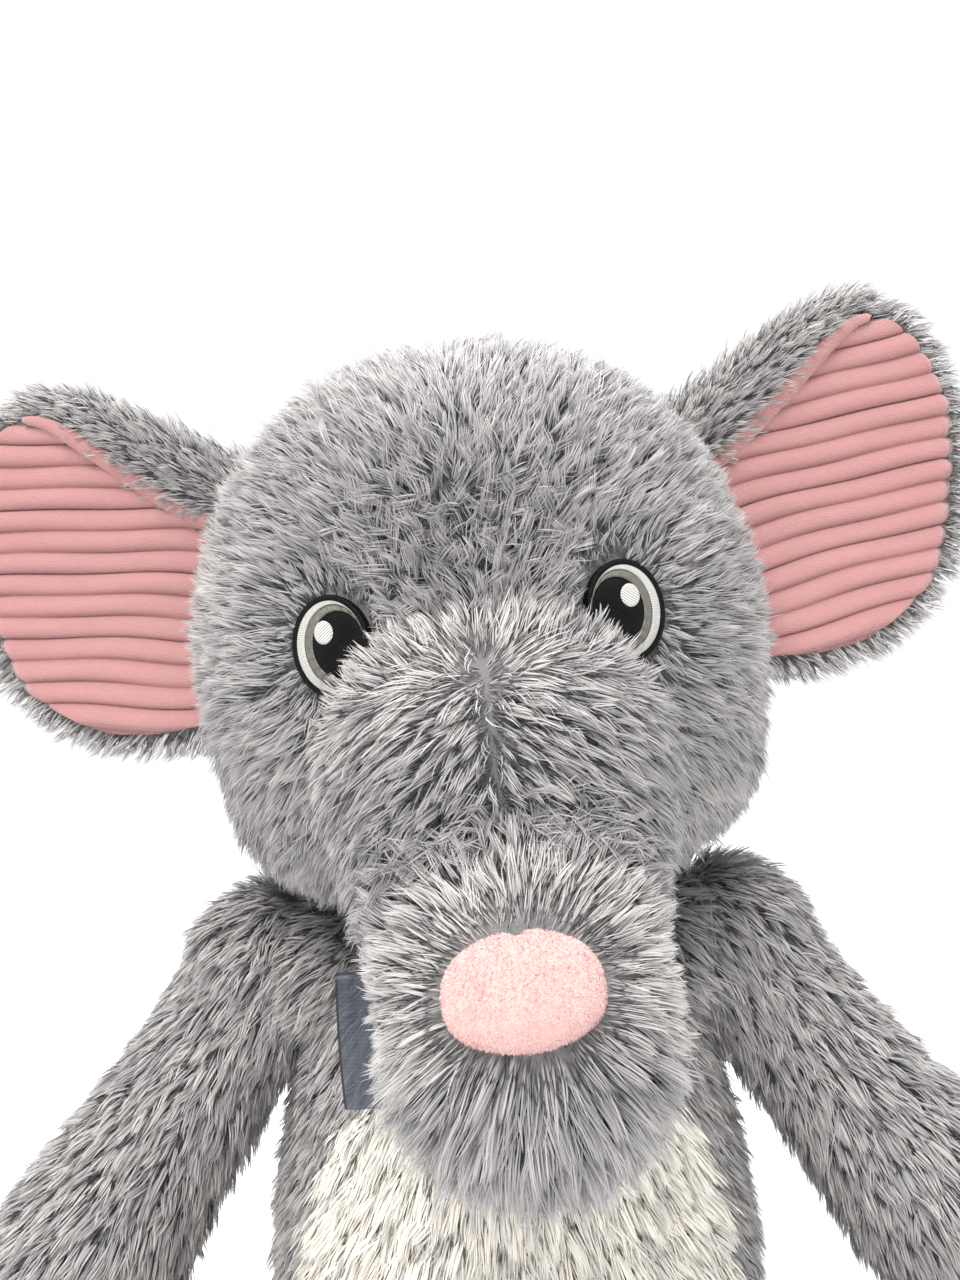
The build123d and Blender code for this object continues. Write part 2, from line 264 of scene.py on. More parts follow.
class Recipe:
    """The node tree of one material while it is put together."""

    def __init__(self, name: str) -> None:
        """Starts an empty material."""
        self.material = bpy.data.materials.new(name)
        self.material.use_nodes = True
        self.tree = self.material.node_tree
        self.tree.nodes.clear()

    def node(self, kind: str, settings: dict | None = None, sockets: dict | None = None,
             output: int | str = 0) -> Sock:
        """Adds one node.

        Args:
            kind: The node's type.
            settings: Its properties, set first; "stops" fills a ramp.
            sockets: Values or links for its inputs.
            output: Which output to give back.

        Returns:
            That output.
        """
        made = self.tree.nodes.new(kind)
        for key, value in (settings or {}).items():
            if key == "stops":
                self._fill_ramp(made.color_ramp, value)
            else:
                setattr(made, key, value)
        for key, value in (sockets or {}).items():
            if isinstance(value, Sock):
                self.tree.links.new(value.socket, made.inputs[key])
            else:
                made.inputs[key].default_value = value
        return Sock(self.tree, made.outputs[output])

    @staticmethod
    def _fill_ramp(ramp: bpy.types.ColorRamp, stops: Sequence[tuple[float, tuple]]) -> None:
        """Gives a ramp its stops."""
        while len(ramp.elements) < len(stops):
            ramp.elements.new(1.0)
        for element, (position, colour) in zip(ramp.elements, stops):
            element.position = position
            element.color = colour

    def blend(self, factor: "Sock | float", first: "Sock | tuple", second: "Sock | tuple",
              way: str = "MIX") -> Sock:
        """Mixes two colours.

        Args:
            factor: How much of the second.
            first: The first colour.
            second: The second colour.
            way: The kind of mix.

        Returns:
            The mixed colour.
        """
        return self.node("ShaderNodeMix", {"data_type": "RGBA", "blend_type": way},
                         {0: factor, 6: first, 7: second}, 2)

    def noise(self, scale: float, detail: float = 2.0) -> Sock:
        """Soft noise over the piece's own coordinates.

        Args:
            scale: How fine it is.
            detail: How many finer layers it has.

        Returns:
            Its value.
        """
        at = self.node("ShaderNodeTexCoord", output="Object")
        return self.node("ShaderNodeTexNoise", None, {"Vector": at, "Scale": scale, "Detail": detail})

    def map_parts(self) -> tuple[Sock, Sock]:
        """The two coordinates of the piece's own map."""
        spot = self.node("ShaderNodeUVMap", {"uv_map": "OFBake"})
        parts = self.tree.nodes.new("ShaderNodeSeparateXYZ")
        self.tree.links.new(spot.socket, parts.inputs[0])
        return Sock(self.tree, parts.outputs[0]), Sock(self.tree, parts.outputs[1])

    def part(self, name: str) -> Sock:
        """A value stored on the mesh's points."""
        return self.node("ShaderNodeAttribute", {"attribute_name": name}, None, "Fac")

    def finish(self, colour: "Sock | tuple", roughness: "Sock | float",
               relief: Sock | None = None, depth: float = 0.0003, **fixed: object) -> bpy.types.Material:
        """Ends the tree in one shader.

        Args:
            colour: Base colour.
            roughness: Roughness.
            relief: Height of the fine relief, or none.
            depth: How deep the relief is, in metres.
            fixed: Other sockets, with spaces written as underscores.

        Returns:
            The finished material.
        """
        sockets = {"Base Color": colour, "Roughness": roughness}
        sockets.update({key.replace("_", " "): value for key, value in fixed.items()})
        if relief is not None:
            sockets["Normal"] = self.node("ShaderNodeBump", None,
                                          {"Strength": 1.0, "Distance": depth, "Height": relief})
        shader = self.node("ShaderNodeBsdfPrincipled", None, sockets)
        self.node_out(shader)
        return self.material

    def node_out(self, shader: Sock) -> None:
        """Links a shader to the material's output."""
        end = self.tree.nodes.new("ShaderNodeOutputMaterial")
        self.tree.links.new(shader.socket, end.inputs["Surface"])


def tint(red: float, green: float, blue: float) -> tuple[float, float, float, float]:
    """A colour as a screen shows it, from 0 to 255, as the shader's own numbers."""
    values = [v / 255 for v in (red, green, blue)]
    flat = [v / 12.92 if v <= 0.04045 else ((v + 0.055) / 1.055) ** 2.4 for v in values]
    return (*flat, 1.0)


# ------------------------------------------------------------------ finishes
@dataclass(frozen=True)
class HairFinish:
    """Polyester hairs with painted shade darkening them towards the root, pale at the tip, some locks paler
    than others.
    """
    name: str
    root: tuple
    middle: tuple
    tip: tuple

    def make(self) -> bpy.types.Material:
        """Builds the finish."""
        recipe = Recipe(self.name)
        tone, along = recipe.map_parts()
        # The dark root colour is painted shade where the hairs crowd together at the skin.
        stops = [(0.0, self.root), (0.45, self.middle), (1.0, self.tip)]
        root_shaded_length = recipe.node("ShaderNodeValToRGB", {"stops": stops}, {"Fac": along})
        # The tone read from the map also carries painted shade on the forehead and on the trunk.
        light = recipe.node("ShaderNodeValToRGB",
                            {"stops": [(0.0, (0.45, 0.445, 0.45, 1)), (0.5, (0.98, 0.98, 0.99, 1)),
                                       (1.0, (1.6, 1.59, 1.55, 1))]}, {"Fac": tone})
        colour = recipe.blend(1.0, root_shaded_length, light, "MULTIPLY")
        return recipe.finish(colour, 0.46, Sheen_Weight=0.25, Sheen_Roughness=0.4,
                             Specular_IOR_Level=0.42)


@dataclass(frozen=True)
class BackingFinish:
    """Knitted backing with pressed pile, seen between the hairs."""
    name: str
    colour: tuple
    dark: tuple

    def make(self) -> bpy.types.Material:
        """Builds the finish."""
        recipe = Recipe(self.name)
        knit = recipe.noise(900, 3)
        patch = recipe.noise(60, 2)
        colour = recipe.blend(patch * 0.5 + knit * 0.4, self.dark, self.colour)
        return recipe.finish(colour, 0.95, knit, 0.0008, Sheen_Weight=0.2)


@dataclass(frozen=True)
class RibbedFinish:
    """Velvety pink pile in wide ribs, with painted shade darkening the grooves."""
    name: str = "pink_ribbed_velour"
    crown: tuple = tint(204, 155, 153)
    slope: tuple = tint(178, 127, 126)
    # The groove colour is painted shade in the hollows between ribs.
    groove: tuple = tint(66, 38, 41)

    def make(self) -> bpy.types.Material:
        """Builds the finish."""
        recipe = Recipe(self.name)
        height = recipe.part("rib")
        fuzz = recipe.noise(1500, 3)
        patch = recipe.noise(70, 3)
        # Low rib values take the painted shade of the grooves.
        stops = [(0.08, self.groove), (0.5, self.slope), (0.95, self.crown)]
        ribs = recipe.node("ShaderNodeValToRGB", {"stops": stops}, {"Fac": height})
        worn = recipe.blend(patch * 0.45, ribs, self.slope)
        colour = recipe.blend(fuzz * 0.45, worn, self.slope)
        return recipe.finish(colour, 0.85, fuzz, 0.0009, Sheen_Weight=0.65, Sheen_Roughness=0.35,
                             Specular_IOR_Level=0.2)


@dataclass(frozen=True)
class ShortPileFinish:
    """Short dense pink pile."""
    name: str = "pink_short_pile"
    pale: tuple = tint(240, 200, 195)
    deep: tuple = tint(228, 180, 175)

    def make(self) -> bpy.types.Material:
        """Builds the finish."""
        recipe = Recipe(self.name)
        fuzz = recipe.noise(1300, 4)
        patch = recipe.noise(110, 3)
        colour = recipe.blend(patch * 0.7 + fuzz * 0.3, self.deep, self.pale)
        return recipe.finish(colour, 0.88, fuzz, 0.0012, Sheen_Weight=0.55, Sheen_Roughness=0.4,
                             Specular_IOR_Level=0.2)


@dataclass(frozen=True)
class ThreadFinish:
    """Glossy embroidery thread, laid side by side, with painted shade between its ridges."""
    name: str
    colour: tuple
    dark: tuple
    gloss: float = 0.34
    shine: float = 0.5

    def make(self) -> bpy.types.Material:
        """Builds the finish."""
        recipe = Recipe(self.name)
        ridge = recipe.part("thread")
        twist = recipe.noise(2600, 2)
        # The dark colour between the thread ridges is painted shade.
        colour = recipe.blend(ridge * 0.75 + twist * 0.3, self.dark, self.colour)
        return recipe.finish(colour, self.gloss, ridge + twist * 0.5, 0.0002,
                             Specular_IOR_Level=self.shine)


@dataclass(frozen=True)
class OrganzaFinish:
    """Sheer woven ribbon with dense dark edges."""
    name: str = "slate_organza"
    weave: tuple = tint(66, 74, 90)
    warp: tuple = tint(42, 48, 62)
    edge: tuple = tint(14, 16, 26)
    threads: float = 5200.0

    def make(self) -> bpy.types.Material:
        """Builds the finish."""
        recipe = Recipe(self.name)
        across, along = recipe.map_parts()
        edge = (across - 0.5).size() > 0.462
        cross = ((across * 220).sine() * 0.5 + 0.5) * ((along * 420).sine() * 0.5 + 0.5)
        cloud = recipe.noise(90, 3)
        cloth = recipe.blend(cross * 0.6 + cloud * 0.5, self.warp, self.weave)
        colour = recipe.blend(edge, cloth, self.edge)
        cover = 0.80 + edge * 0.2 + cloud * 0.1
        return recipe.finish(colour, 0.42, cross, 0.0001, Alpha=cover, Sheen_Weight=0.2,
                             Specular_IOR_Level=0.5)


@dataclass(frozen=True)
class SatinFinish:
    """White woven satin of the care label."""
    name: str = "label_satin"

    def make(self) -> bpy.types.Material:
        """Builds the finish."""
        recipe = Recipe(self.name)
        at = recipe.node("ShaderNodeTexCoord", output="Object")
        weave = recipe.node("ShaderNodeTexWave", {"bands_direction": "Z"},
                            {"Vector": at, "Scale": 900.0, "Distortion": 0.4})
        colour = recipe.blend(weave * 0.5, tint(246, 245, 240), tint(224, 222, 214))
        return recipe.finish(colour, 0.36, weave, 0.0001)


@dataclass(frozen=True)
class LooseFinish:
    """Loose fibre or small beads inside the toy."""
    name: str
    pale: tuple
    dark: tuple
    scale: float

    def make(self) -> bpy.types.Material:
        """Builds the finish."""
        recipe = Recipe(self.name)
        at = recipe.node("ShaderNodeTexCoord", output="Object")
        cells = recipe.node("ShaderNodeTexVoronoi", None, {"Vector": at, "Scale": self.scale})
        colour = recipe.blend(cells, self.pale, self.dark)
        return recipe.finish(colour, 0.8, cells, 0.001)


# ------------------------------------------------------------------ skins
class Skin:
    """A grid of points in the toy's millimetres, with outward directions."""

    def __init__(self, points: Array, wrap: bool = True, out: Array | None = None) -> None:
        """Works out the outward directions.

        Args:
            points: Rows and columns of places.
            wrap: Whether the last column meets the first.
            out: A rough outward direction, for a skin that doesn't close round its middle.
        """
        self.points = points
        self.wrap = wrap
        down = np.gradient(points, axis=0)
        if wrap:
            across = (np.roll(points, -1, axis=1) - np.roll(points, 1, axis=1)) / 2
        else:
            across = np.gradient(points, axis=1)
        raw = np.cross(across, down)
        size = np.linalg.norm(raw, axis=-1)
        for row in np.flatnonzero(size.max(axis=1) < 1e-6):
            near = row + 1 if row == 0 else row - 1
            raw[row] = raw[near].mean(axis=0)
        self.normals = unit(raw)
        ahead = points - points.reshape(-1, 3).mean(axis=0) if out is None else out
        self.turned = float(np.sum(self.normals * ahead)) < 0
        if self.turned:
            self.normals = -self.normals

    def faces(self) -> Array:
        """The grid's four-sided faces, wound to face outwards."""
        rows, columns = self.points.shape[:2]
        index = np.arange(rows * columns).reshape(rows, columns)
        if self.wrap:
            index = np.hstack([index, index[:, :1]])
        a, b, c, d = index[:-1, :-1], index[:-1, 1:], index[1:, 1:], index[1:, :-1]
        order = (d, c, b, a) if self.turned else (a, b, c, d)
        return np.stack([x.ravel() for x in order], axis=1)

    def scatter(self, rng: np.random.Generator, density: float, keep: Share) -> tuple[Array, Array]:
        """Roots spread evenly over the skin.

        Args:
            rng: Where the chance comes from.
            density: Roots on each square millimetre.
            keep: Share of them to keep at each place.

        Returns:
            The roots and their outward directions.
        """
        corners = self.faces()
        flat, out = self.points.reshape(-1, 3), self.normals.reshape(-1, 3)
        a, b, c, d = (flat[corners[:, k]] for k in range(4))
        area = 0.5 * np.linalg.norm(np.cross(c - a, d - b), axis=1)
        wanted = area * density * np.clip(keep((a + b + c + d) / 4), 0, None)
        count = rng.poisson(wanted)
        pick = np.repeat(np.arange(len(corners)), count)
        u, v = rng.random((2, len(pick), 1))
        chosen = corners[pick]
        blend = [(1 - u) * (1 - v), u * (1 - v), u * v, (1 - u) * v]
        roots = sum(w * flat[chosen[:, k]] for k, w in enumerate(blend))
        normals = sum(w * out[chosen[:, k]] for k, w in enumerate(blend))
        return roots, unit(normals)


def turned_skin(profile: Array, place: Place, columns: int = 96) -> Skin:
    """A skin turned about a place's own +Z from a line of (radius, distance) points."""
    round_ = np.linspace(0, 2 * math.pi, columns, endpoint=False)
    radius, along = profile[:, :1], profile[:, 1:]
    own = np.stack([radius * np.cos(round_), radius * np.sin(round_),
                    along + 0 * round_[None]], axis=-1)
    shape = own.shape
    return Skin(place.points(own.reshape(-1, 3)).reshape(shape))


# ------------------------------------------------------------------ the bench
class Bench:
    """Where finished meshes become pieces and are put on the frame."""

    def __init__(self) -> None:
        """Makes every finish once."""
        self.finishes = {
            # Each hair finish runs root, middle, tip; the darker root colour is painted shade.
            "grey_hair": HairFinish("grey_hair", tint(110, 108, 109), tint(150, 148, 149),
                                    tint(184, 181, 180)).make(),
            "cream_hair": HairFinish("cream_hair", tint(206, 201, 191), tint(228, 224, 215),
                                     tint(242, 239, 232)).make(),
            "grey_backing": BackingFinish("grey_backing", tint(134, 132, 133), tint(108, 106, 107)).make(),
            "cream_backing": BackingFinish("cream_backing", tint(216, 210, 198),
                                           tint(196, 188, 174)).make(),
            "pink_ribbed": RibbedFinish().make(),
            "pink_short": ShortPileFinish().make(),
            "pink_hair": HairFinish("pink_hair", tint(234, 190, 185), tint(240, 198, 193),
                                    tint(243, 204, 199)).make(),
            # Each thread finish's second colour is painted shade between its ridges.
            "black_thread": ThreadFinish("black_thread", tint(14, 14, 15), tint(3, 3, 4), 0.5, 0.12).make(),
            "white_thread": ThreadFinish("white_thread", tint(226, 225, 220), tint(128, 126, 120)).make(),
            "olive_thread": ThreadFinish("olive_grey_thread", tint(118, 116, 106), tint(48, 47, 41)).make(),
            "organza": OrganzaFinish().make(),
            "label": SatinFinish().make(),
            "fibre": LooseFinish("loose_fibre", tint(244, 243, 238), tint(214, 212, 206), 300).make(),
            "beads": LooseFinish("bead_bag", tint(220, 224, 216), tint(176, 182, 172), 240).make(),
        }

    def mesh(self, name: str, points: Array, faces: Array, finish: str) -> bpy.types.Object:
        """Makes an object from points in millimetres and four-sided faces.

        Args:
            name: The piece's name.
            points: Its points.
            faces: Its faces; points that coincide are joined.
            finish: Which finish it wears.

        Returns:
            The object.
        """
        mesh = bpy.data.meshes.new(name)
        mesh.from_pydata((points * MM).tolist(), [], faces.tolist())
        shape = bmesh.new()
        shape.from_mesh(mesh)
        bmesh.ops.remove_doubles(shape, verts=shape.verts, dist=2e-6)
        bmesh.ops.dissolve_degenerate(shape, edges=shape.edges, dist=1e-7)
        shape.to_mesh(mesh)
        shape.free()
        mesh.shade_smooth()
        mesh.materials.append(self.finishes[finish])
        return link_piece(name, mesh)

    def skin(self, name: str, skin: Skin, finish: str) -> bpy.types.Object:
        """Makes an object from a skin."""
        return self.mesh(name, skin.points.reshape(-1, 3), skin.faces(), finish)

    def put(self, piece: bpy.types.Object, body: str, slot: str, *stands_for: str) -> bpy.types.Object:
        """Sets a piece riding on a body.

        Args:
            piece: The piece.
            body: The body it rides on.
            slot: Not used.
            stands_for: The solids that it stands for.

        Returns:
            The piece.
        """
        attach(piece, body)
        self._mark(piece, slot, *stands_for)
        return piece

    def bend(self, piece: bpy.types.Object, bodies: tuple[str, str], ends: tuple[Array, Array],
             slot: str, *stands_for: str) -> bpy.types.Object:
        """Sets a piece bending between two bodies.

        Args:
            piece: The piece.
            bodies: Not used.
            ends: Not used.
            slot: Not used.
            stands_for: The solids that it stands for.

        Returns:
            The piece.
        """
        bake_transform(piece)
        self._mark(piece, slot, *stands_for)
        return piece

    @staticmethod
    def _mark(piece: bpy.types.Object, slot: str, *stands_for: str) -> None:
        """Hides the solids that a piece stands for, and logs its face count."""
        if stands_for:
            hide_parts(*stands_for)
        log.info("%s: %d faces", piece.name, len(piece.data.polygons))


# ------------------------------------------------------------------ hairs
@dataclass(frozen=True)
class Pile:
    """How the hairs of one plush stand, in millimetres and degrees."""
    length: float = 21.0
    width: float = 0.7
    density: float = 0.5
    lock: float = 4.6
    gather: float = 0.55
    root_angle: float = 30.0
    tip_angle: float = 72.0
    stray: float = 14.0
    droop: float = 0.18
    bow: float = 0.7
    softness: float = 0.68


def even(points: Array) -> Array:
    """The same share everywhere."""
    return np.ones(len(points))


def flat_tone(points: Array) -> Array:
    """No paler or darker anywhere."""
    return np.zeros(len(points))


def paler(points: Array) -> Array:
    """A little paler everywhere."""
    return np.full(len(points), 0.16)


class Coat:
    """Hairs grown on a skin, lock by lock."""

    def __init__(self, pile: Pile, lie: Lie, seed: int, keep: Share = even, reach: Share = even,
                 tone: Share = flat_tone, mess: Share = flat_tone, press: Share = flat_tone) -> None:
        """Sets how the hairs grow.

        Args:
            pile: How they stand.
            lie: Which way they lie at each root.
            seed: Where their chance starts.
            keep: Share of hairs kept at each place.
            reach: Length at each place, as a share of the pile's.
            tone: How much paler they are at each place, from -0.5 to 0.5.
            mess: How tangled they are at each place, from 0 to 1.
            press: How far they are pressed flat at each place, from 0 to 1.
        """
        self.pile = pile
        self.lie = lie
        self.rng = np.random.default_rng(seed)
        self.seed = seed
        self.keep = keep
        self.reach = reach
        self.tone = tone
        self.mess = mess
        self.press = press

    def _locks(self, roots: Array) -> tuple[Array, int]:
        """Which lock each hair belongs to, and how many locks there are."""
        size = self.pile.lock
        swayed = roots + 0.42 * size * np.sin(roots[:, [1, 2, 0]] * (2.1 / size) + self.seed)
        swayed = swayed + 0.3 * size * np.sin(roots[:, [2, 0, 1]] * (3.7 / size))
        cell = np.floor(swayed / size).astype(np.int64) + 4096
        key = (cell[:, 0] * 8192 + cell[:, 1]) * 8192 + cell[:, 2]
        _, lock = np.unique(key, return_inverse=True)
        return lock, int(lock.max()) + 1

    def grow(self, skin: Skin) -> tuple[Array, Array, Array]:
        """Grows the hairs.

        Args:
            skin: What they grow on.

        Returns:
            The points of each hair, as (hairs, points, 3), each hair's tone from 0 to 1 and the
            outward direction at its root.
        """
        pile, rng = self.pile, self.rng
        roots, normals = skin.scatter(rng, pile.density, self.keep)
        lock, locks = self._locks(roots)
        hairs = len(roots)
        lie = self.lie(roots, normals)
        lie = unit(lie - np.sum(lie * normals, axis=1, keepdims=True) * normals)
        side = np.cross(normals, lie)
        mess = self.mess(roots)
        stray = (rng.normal(size=locks)[lock] * (pile.stray + 62 * mess)
                 + rng.normal(size=hairs) * (5 + 10 * mess))
        turn = np.radians(stray)[:, None]
        lie, side = lie * np.cos(turn) + side * np.sin(turn), side * np.cos(turn) - lie * np.sin(turn)
        lifted = (rng.normal(size=locks)[lock] * 7 + rng.normal(size=hairs) * 5)[:, None]
        start = pile.root_angle + lifted + 38 * self.press(roots)[:, None]
        end = pile.tip_angle + lifted - 25 * mess[:, None]
        length = (pile.length * self.reach(roots) * (0.84 + 0.3 * rng.random(locks)[lock])
                  * (0.86 + 0.22 * rng.random(hairs)))[:, None]
        bow = rng.normal(size=locks)[lock][:, None] * pile.bow
        steps = HAIR_RINGS
        at = roots - normals * 0.6
        curve = [at]
        for step in range(steps):
            share = (step + 0.5) / steps
            angle = np.radians(start + (end - start) * share)
            aim = normals * np.cos(angle) + lie * np.sin(angle)
            aim = aim - UP * pile.droop * share + side * bow * 0.3 * (share - 0.3)
            at = at + unit(aim) * length / steps
            curve.append(at)
        points = np.stack(curve, axis=1)
        points = self._gathered(points, lock, locks)
        points[:, :, 2] = np.maximum(points[:, :, 2], FLOOR_ROOM)
        shade = (0.48 + self.tone(roots) + 0.10 * rng.normal(size=locks)[lock]
                 + 0.055 * rng.normal(size=hairs) + 0.07 * wander(roots, 26, self.seed))
        return points, np.clip(shade, 0.03, 0.97), normals

    def _gathered(self, points: Array, lock: Array, locks: int) -> Array:
        """Draws the hairs of each lock together towards their tips."""
        count = np.bincount(lock, minlength=locks).astype(float)
        rings = points.shape[1]
        share = self.pile.gather * (np.arange(rings) / (rings - 1)) ** 1.25
        pulled = points.copy()
        for ring in range(1, rings):
            for axis in range(3):
                middle = np.bincount(lock, points[:, ring, axis], locks) / count
                pulled[:, ring, axis] += (middle[lock] - points[:, ring, axis]) * share[ring]
        return pulled

    def pieces(self, bench: Bench, name: str, skin: Skin, finish: str) -> list[bpy.types.Object]:
        """Grows the hairs and makes them into pieces of a fair size.

        Args:
            bench: Where pieces are made.
            name: What the pieces are called, before their number.
            skin: What the hairs grow on.
            finish: Which finish they wear.

        Returns:
            The pieces.
        """
        points, tone, out = self.grow(skin)
        groups = np.array_split(np.arange(len(points)), max(1, -(-len(points) // HAIRS_IN_A_PIECE)))
        made = []
        for number, group in enumerate(groups):
            label = name if len(groups) == 1 else f"{name}_{number + 1}"
            made.append(self._piece(bench, label, points[group], tone[group], out[group], finish))
        return made

    def _piece(self, bench: Bench, name: str, points: Array, tone: Array, out: Array,
               finish: str) -> bpy.types.Object:
        """Makes flat tapering blades along the hairs, shaded softly like the plush as a whole."""
        hairs, rings = len(points), points.shape[1]
        along = unit(np.gradient(points, axis=1))
        roots = points[:, :1] - points.mean(axis=1, keepdims=True)
        broad = unit(np.cross(along, unit(roots + 1e-4)) + 1e-6)
        spin = self.rng.normal(size=(hairs, 1, 1)) * 0.9
        turned = broad * np.cos(spin) + np.cross(along, broad) * np.sin(spin)
        faced = np.cross(turned, along)
        flip = np.sign(np.sum(faced[:, 1:3].mean(axis=1) * out, axis=1) + 1e-9)[:, None, None]
        turned, faced = turned * flip, faced * flip
        taper = np.array([0.9, 1.0, 0.86, 0.6, 0.0])[None, :, None] * self.pile.width / 2
        thick = taper * (0.75 + 0.5 * self.rng.random((hairs, 1, 1)))
        left, right = points - turned * thick, points + turned * thick
        body = np.stack([left[:, :-1], right[:, :-1]], axis=2).reshape(hairs, -1, 3)
        vertices = np.concatenate([body, points[:, -1:]], axis=1)
        vertices[:, :, 2] = np.maximum(vertices[:, :, 2], FLOOR_ROOM)
        each = vertices.shape[1]
        loop = []
        for ring in range(rings - 2):
            low = 2 * ring
            loop += [low, low + 1, low + 3, low + 2]
        loop += [each - 3, each - 2, each - 1]
        starts = np.array([4 * ring for ring in range(rings - 1)])
        loops = (np.array(loop)[None] + np.arange(hairs)[:, None] * each).ravel()
        begins = (starts[None] + np.arange(hairs)[:, None] * len(loop)).ravel()
        mesh = bpy.data.meshes.new(name)
        mesh.vertices.add(hairs * each)
        mesh.vertices.foreach_set("co", (vertices * MM).astype(np.float32).ravel())
        mesh.loops.add(len(loops))
        mesh.loops.foreach_set("vertex_index", loops.astype(np.int32))
        mesh.polygons.add(len(begins))
        mesh.polygons.foreach_set("loop_start", begins.astype(np.int32))
        mesh.update(calc_edges=True)
        mesh.shade_smooth()
        facing = np.clip(np.sum(faced * out[:, None], axis=2, keepdims=True), 0, 1)
        share = self.pile.softness * facing
        soft = unit(faced * (1 - share) + out[:, None] * share)
        shading = np.concatenate([np.repeat(soft[:, :-1], 2, axis=1), soft[:, -1:]], axis=1)
        mesh.normals_split_custom_set_from_vertices(shading.reshape(-1, 3).tolist())
        ring_share = np.repeat(np.arange(rings - 1) / (rings - 1), 2)
        own_v = np.concatenate([ring_share, [1.0]]) * 0.96 + 0.02
        own_u = np.concatenate([np.tile([-0.008, 0.008], rings - 1), [0.0]])
        spread = np.array(loop)
        u = tone[:, None] + own_u[spread][None]
        v = np.broadcast_to(own_v[spread][None], u.shape)
        layer = mesh.uv_layers.new(name="OFBake", do_init=False)
        layer.uv.foreach_set("vector", np.stack([u, v], axis=-1).astype(np.float32).ravel())
        mesh.materials.append(bench.finishes[finish])
        return link_piece(name, mesh)


# ------------------------------------------------------------------ head
@dataclass(frozen=True)
class Head:
    """The round head, its plush and the way that it lies."""
    bench: Bench
    eye_across: float = 58.0
    eye_up: float = 4.5
    trunk_root: tuple[float, float, float] = (0, -74, -34)
    trunk_room: float = 50.0
    trunk_drop: float = 56.0        # degrees below level
    eye_half: tuple[float, float] = (16.0, 20.0)
    rows: int = 120
    columns: int = 168

    def skin(self) -> Skin:
        """The head's cloth: an egg with full cheeks and a dip along the top seam."""
        tilt = np.linspace(0, math.pi, self.rows)[:, None]
        round_ = np.linspace(0, 2 * math.pi, self.columns, endpoint=False)[None]
        a, b, c = HEAD.radii
        x = a * np.sin(tilt) * np.cos(round_)
        y = b * np.sin(tilt) * np.sin(round_)
        z = c * np.cos(tilt) + 0 * round_
        full = 1.03 + 0.2 * bell(z, -98, 38) * np.cos(round_) ** 2
        dip = 1 + (0.055 - 0.022 * bell(x, 0, 16)) * ease(z, 30, 120)
        own = np.stack([x * full * dip, y * dip, z * dip], axis=-1)
        own = own + 2.6 * unit(own)
        return Skin(HEAD_PLACE.points(own.reshape(-1, 3)).reshape(own.shape))

    def eye_distance(self, own: Array) -> Array:
        """How far a place is from the nearer eye's middle, 1 being its edge."""
        x = (np.abs(own[:, 0]) - self.eye_across) / self.eye_half[0]
        z = (own[:, 2] - self.eye_up) / self.eye_half[1]
        far = np.hypot(x, z)
        return np.where(own[:, 1] < 0, far, 9.0)

    def trunk_distance(self, own: Array) -> Array:
        """How far a place is from the trunk's axis."""
        angle = math.radians(self.trunk_drop)
        aim = np.array([0, -math.cos(angle), -math.sin(angle)])
        gap = own - np.array(self.trunk_root, float)
        far = np.linalg.norm(gap - (gap @ aim)[:, None] * aim, axis=1)
        return far + np.where(own[:, 1] < -20, 0, 999)

    def lie(self, points: Array, normals: Array) -> Array:
        """Outwards from between the eyes in front, down the back behind."""
        own = HEAD_PLACE.own(points)
        front = np.stack([own[:, 0], 0 * own[:, 0], own[:, 2] + 18], axis=1)
        front = unit(front)
        front[:, 2] -= 0.55 * ease(-own[:, 2], -20, 70)
        side = np.sign(own[:, 0]) * bell(own[:, 2], 75, 60) * 0.25
        front[:, 0] += side
        away = np.stack([own[:, 0] - np.sign(own[:, 0]) * self.eye_across, 0 * own[:, 0],
                         own[:, 2] - self.eye_up], axis=1)
        near = 1 - ease(self.eye_distance(own), 1.1, 2.1)
        front = front * (1 - near)[:, None] + unit(away) * 1.2 * near[:, None]
        back = np.stack([0.35 * own[:, 0] / 127, 0.3 + 0 * own[:, 0], -1 + 0 * own[:, 0]], axis=1)
        crown = np.stack([own[:, 0] / 60, 1 + 0 * own[:, 0], 0.3 + 0 * own[:, 0]], axis=1)
        share = ease(own[:, 1], -30, 45)[:, None]
        top = ease(own[:, 2], 60, 120)[:, None]
        behind = back * (1 - top) + crown * top
        return HEAD_PLACE.aims(front * (1 - share) + behind * share)

    def keep(self, points: Array) -> Array:
        """No hairs under the eyes, the trunk or the neck."""
        own = HEAD_PLACE.own(points)
        eyes = ease(self.eye_distance(own), 1.0, 1.05)
        trunk = ease(self.trunk_distance(own), self.trunk_room - 4, self.trunk_room)
        neck = ease(own[:, 2], -127, -120)
        return eyes * trunk * neck * (0.42 + 0.58 * ease(-own[:, 1], -40, -15))

    def reach(self, points: Array) -> Array:
        """Shorter hairs round the eyes and on the forehead."""
        own = HEAD_PLACE.own(points)
        eyes = 0.42 + 0.58 * ease(self.eye_distance(own), 1.0, 1.9)
        forehead = 1 - 0.18 * bell(own[:, 2], 60, 45) * bell(own[:, 0], 0, 60)
        return eyes * forehead

    def tone(self, points: Array) -> Array:
        """Painted shade in the tangled forehead, paler on the cheeks and crown."""
        own = HEAD_PLACE.own(points)
        front = ease(-own[:, 1], 0, 40)
        # Painted shade: the tangled hairs between and above the eyes are darkened.
        forehead = -0.16 * bell(own[:, 0], 0, 42) * bell(own[:, 2], 48, 30) * front
        cheek = 0.12 * bell(np.abs(own[:, 0]), 98, 22) * bell(own[:, 2], 0, 50) * front
        crown = 0.12 * ease(own[:, 2], 85, 125)
        return forehead + cheek + crown

    def mess(self, points: Array) -> Array:
        """Tangled between and above the eyes."""
        own = HEAD_PLACE.own(points)
        return 0.9 * bell(own[:, 0], 0, 38) * bell(own[:, 2], 46, 26) * ease(-own[:, 1], 0, 40)

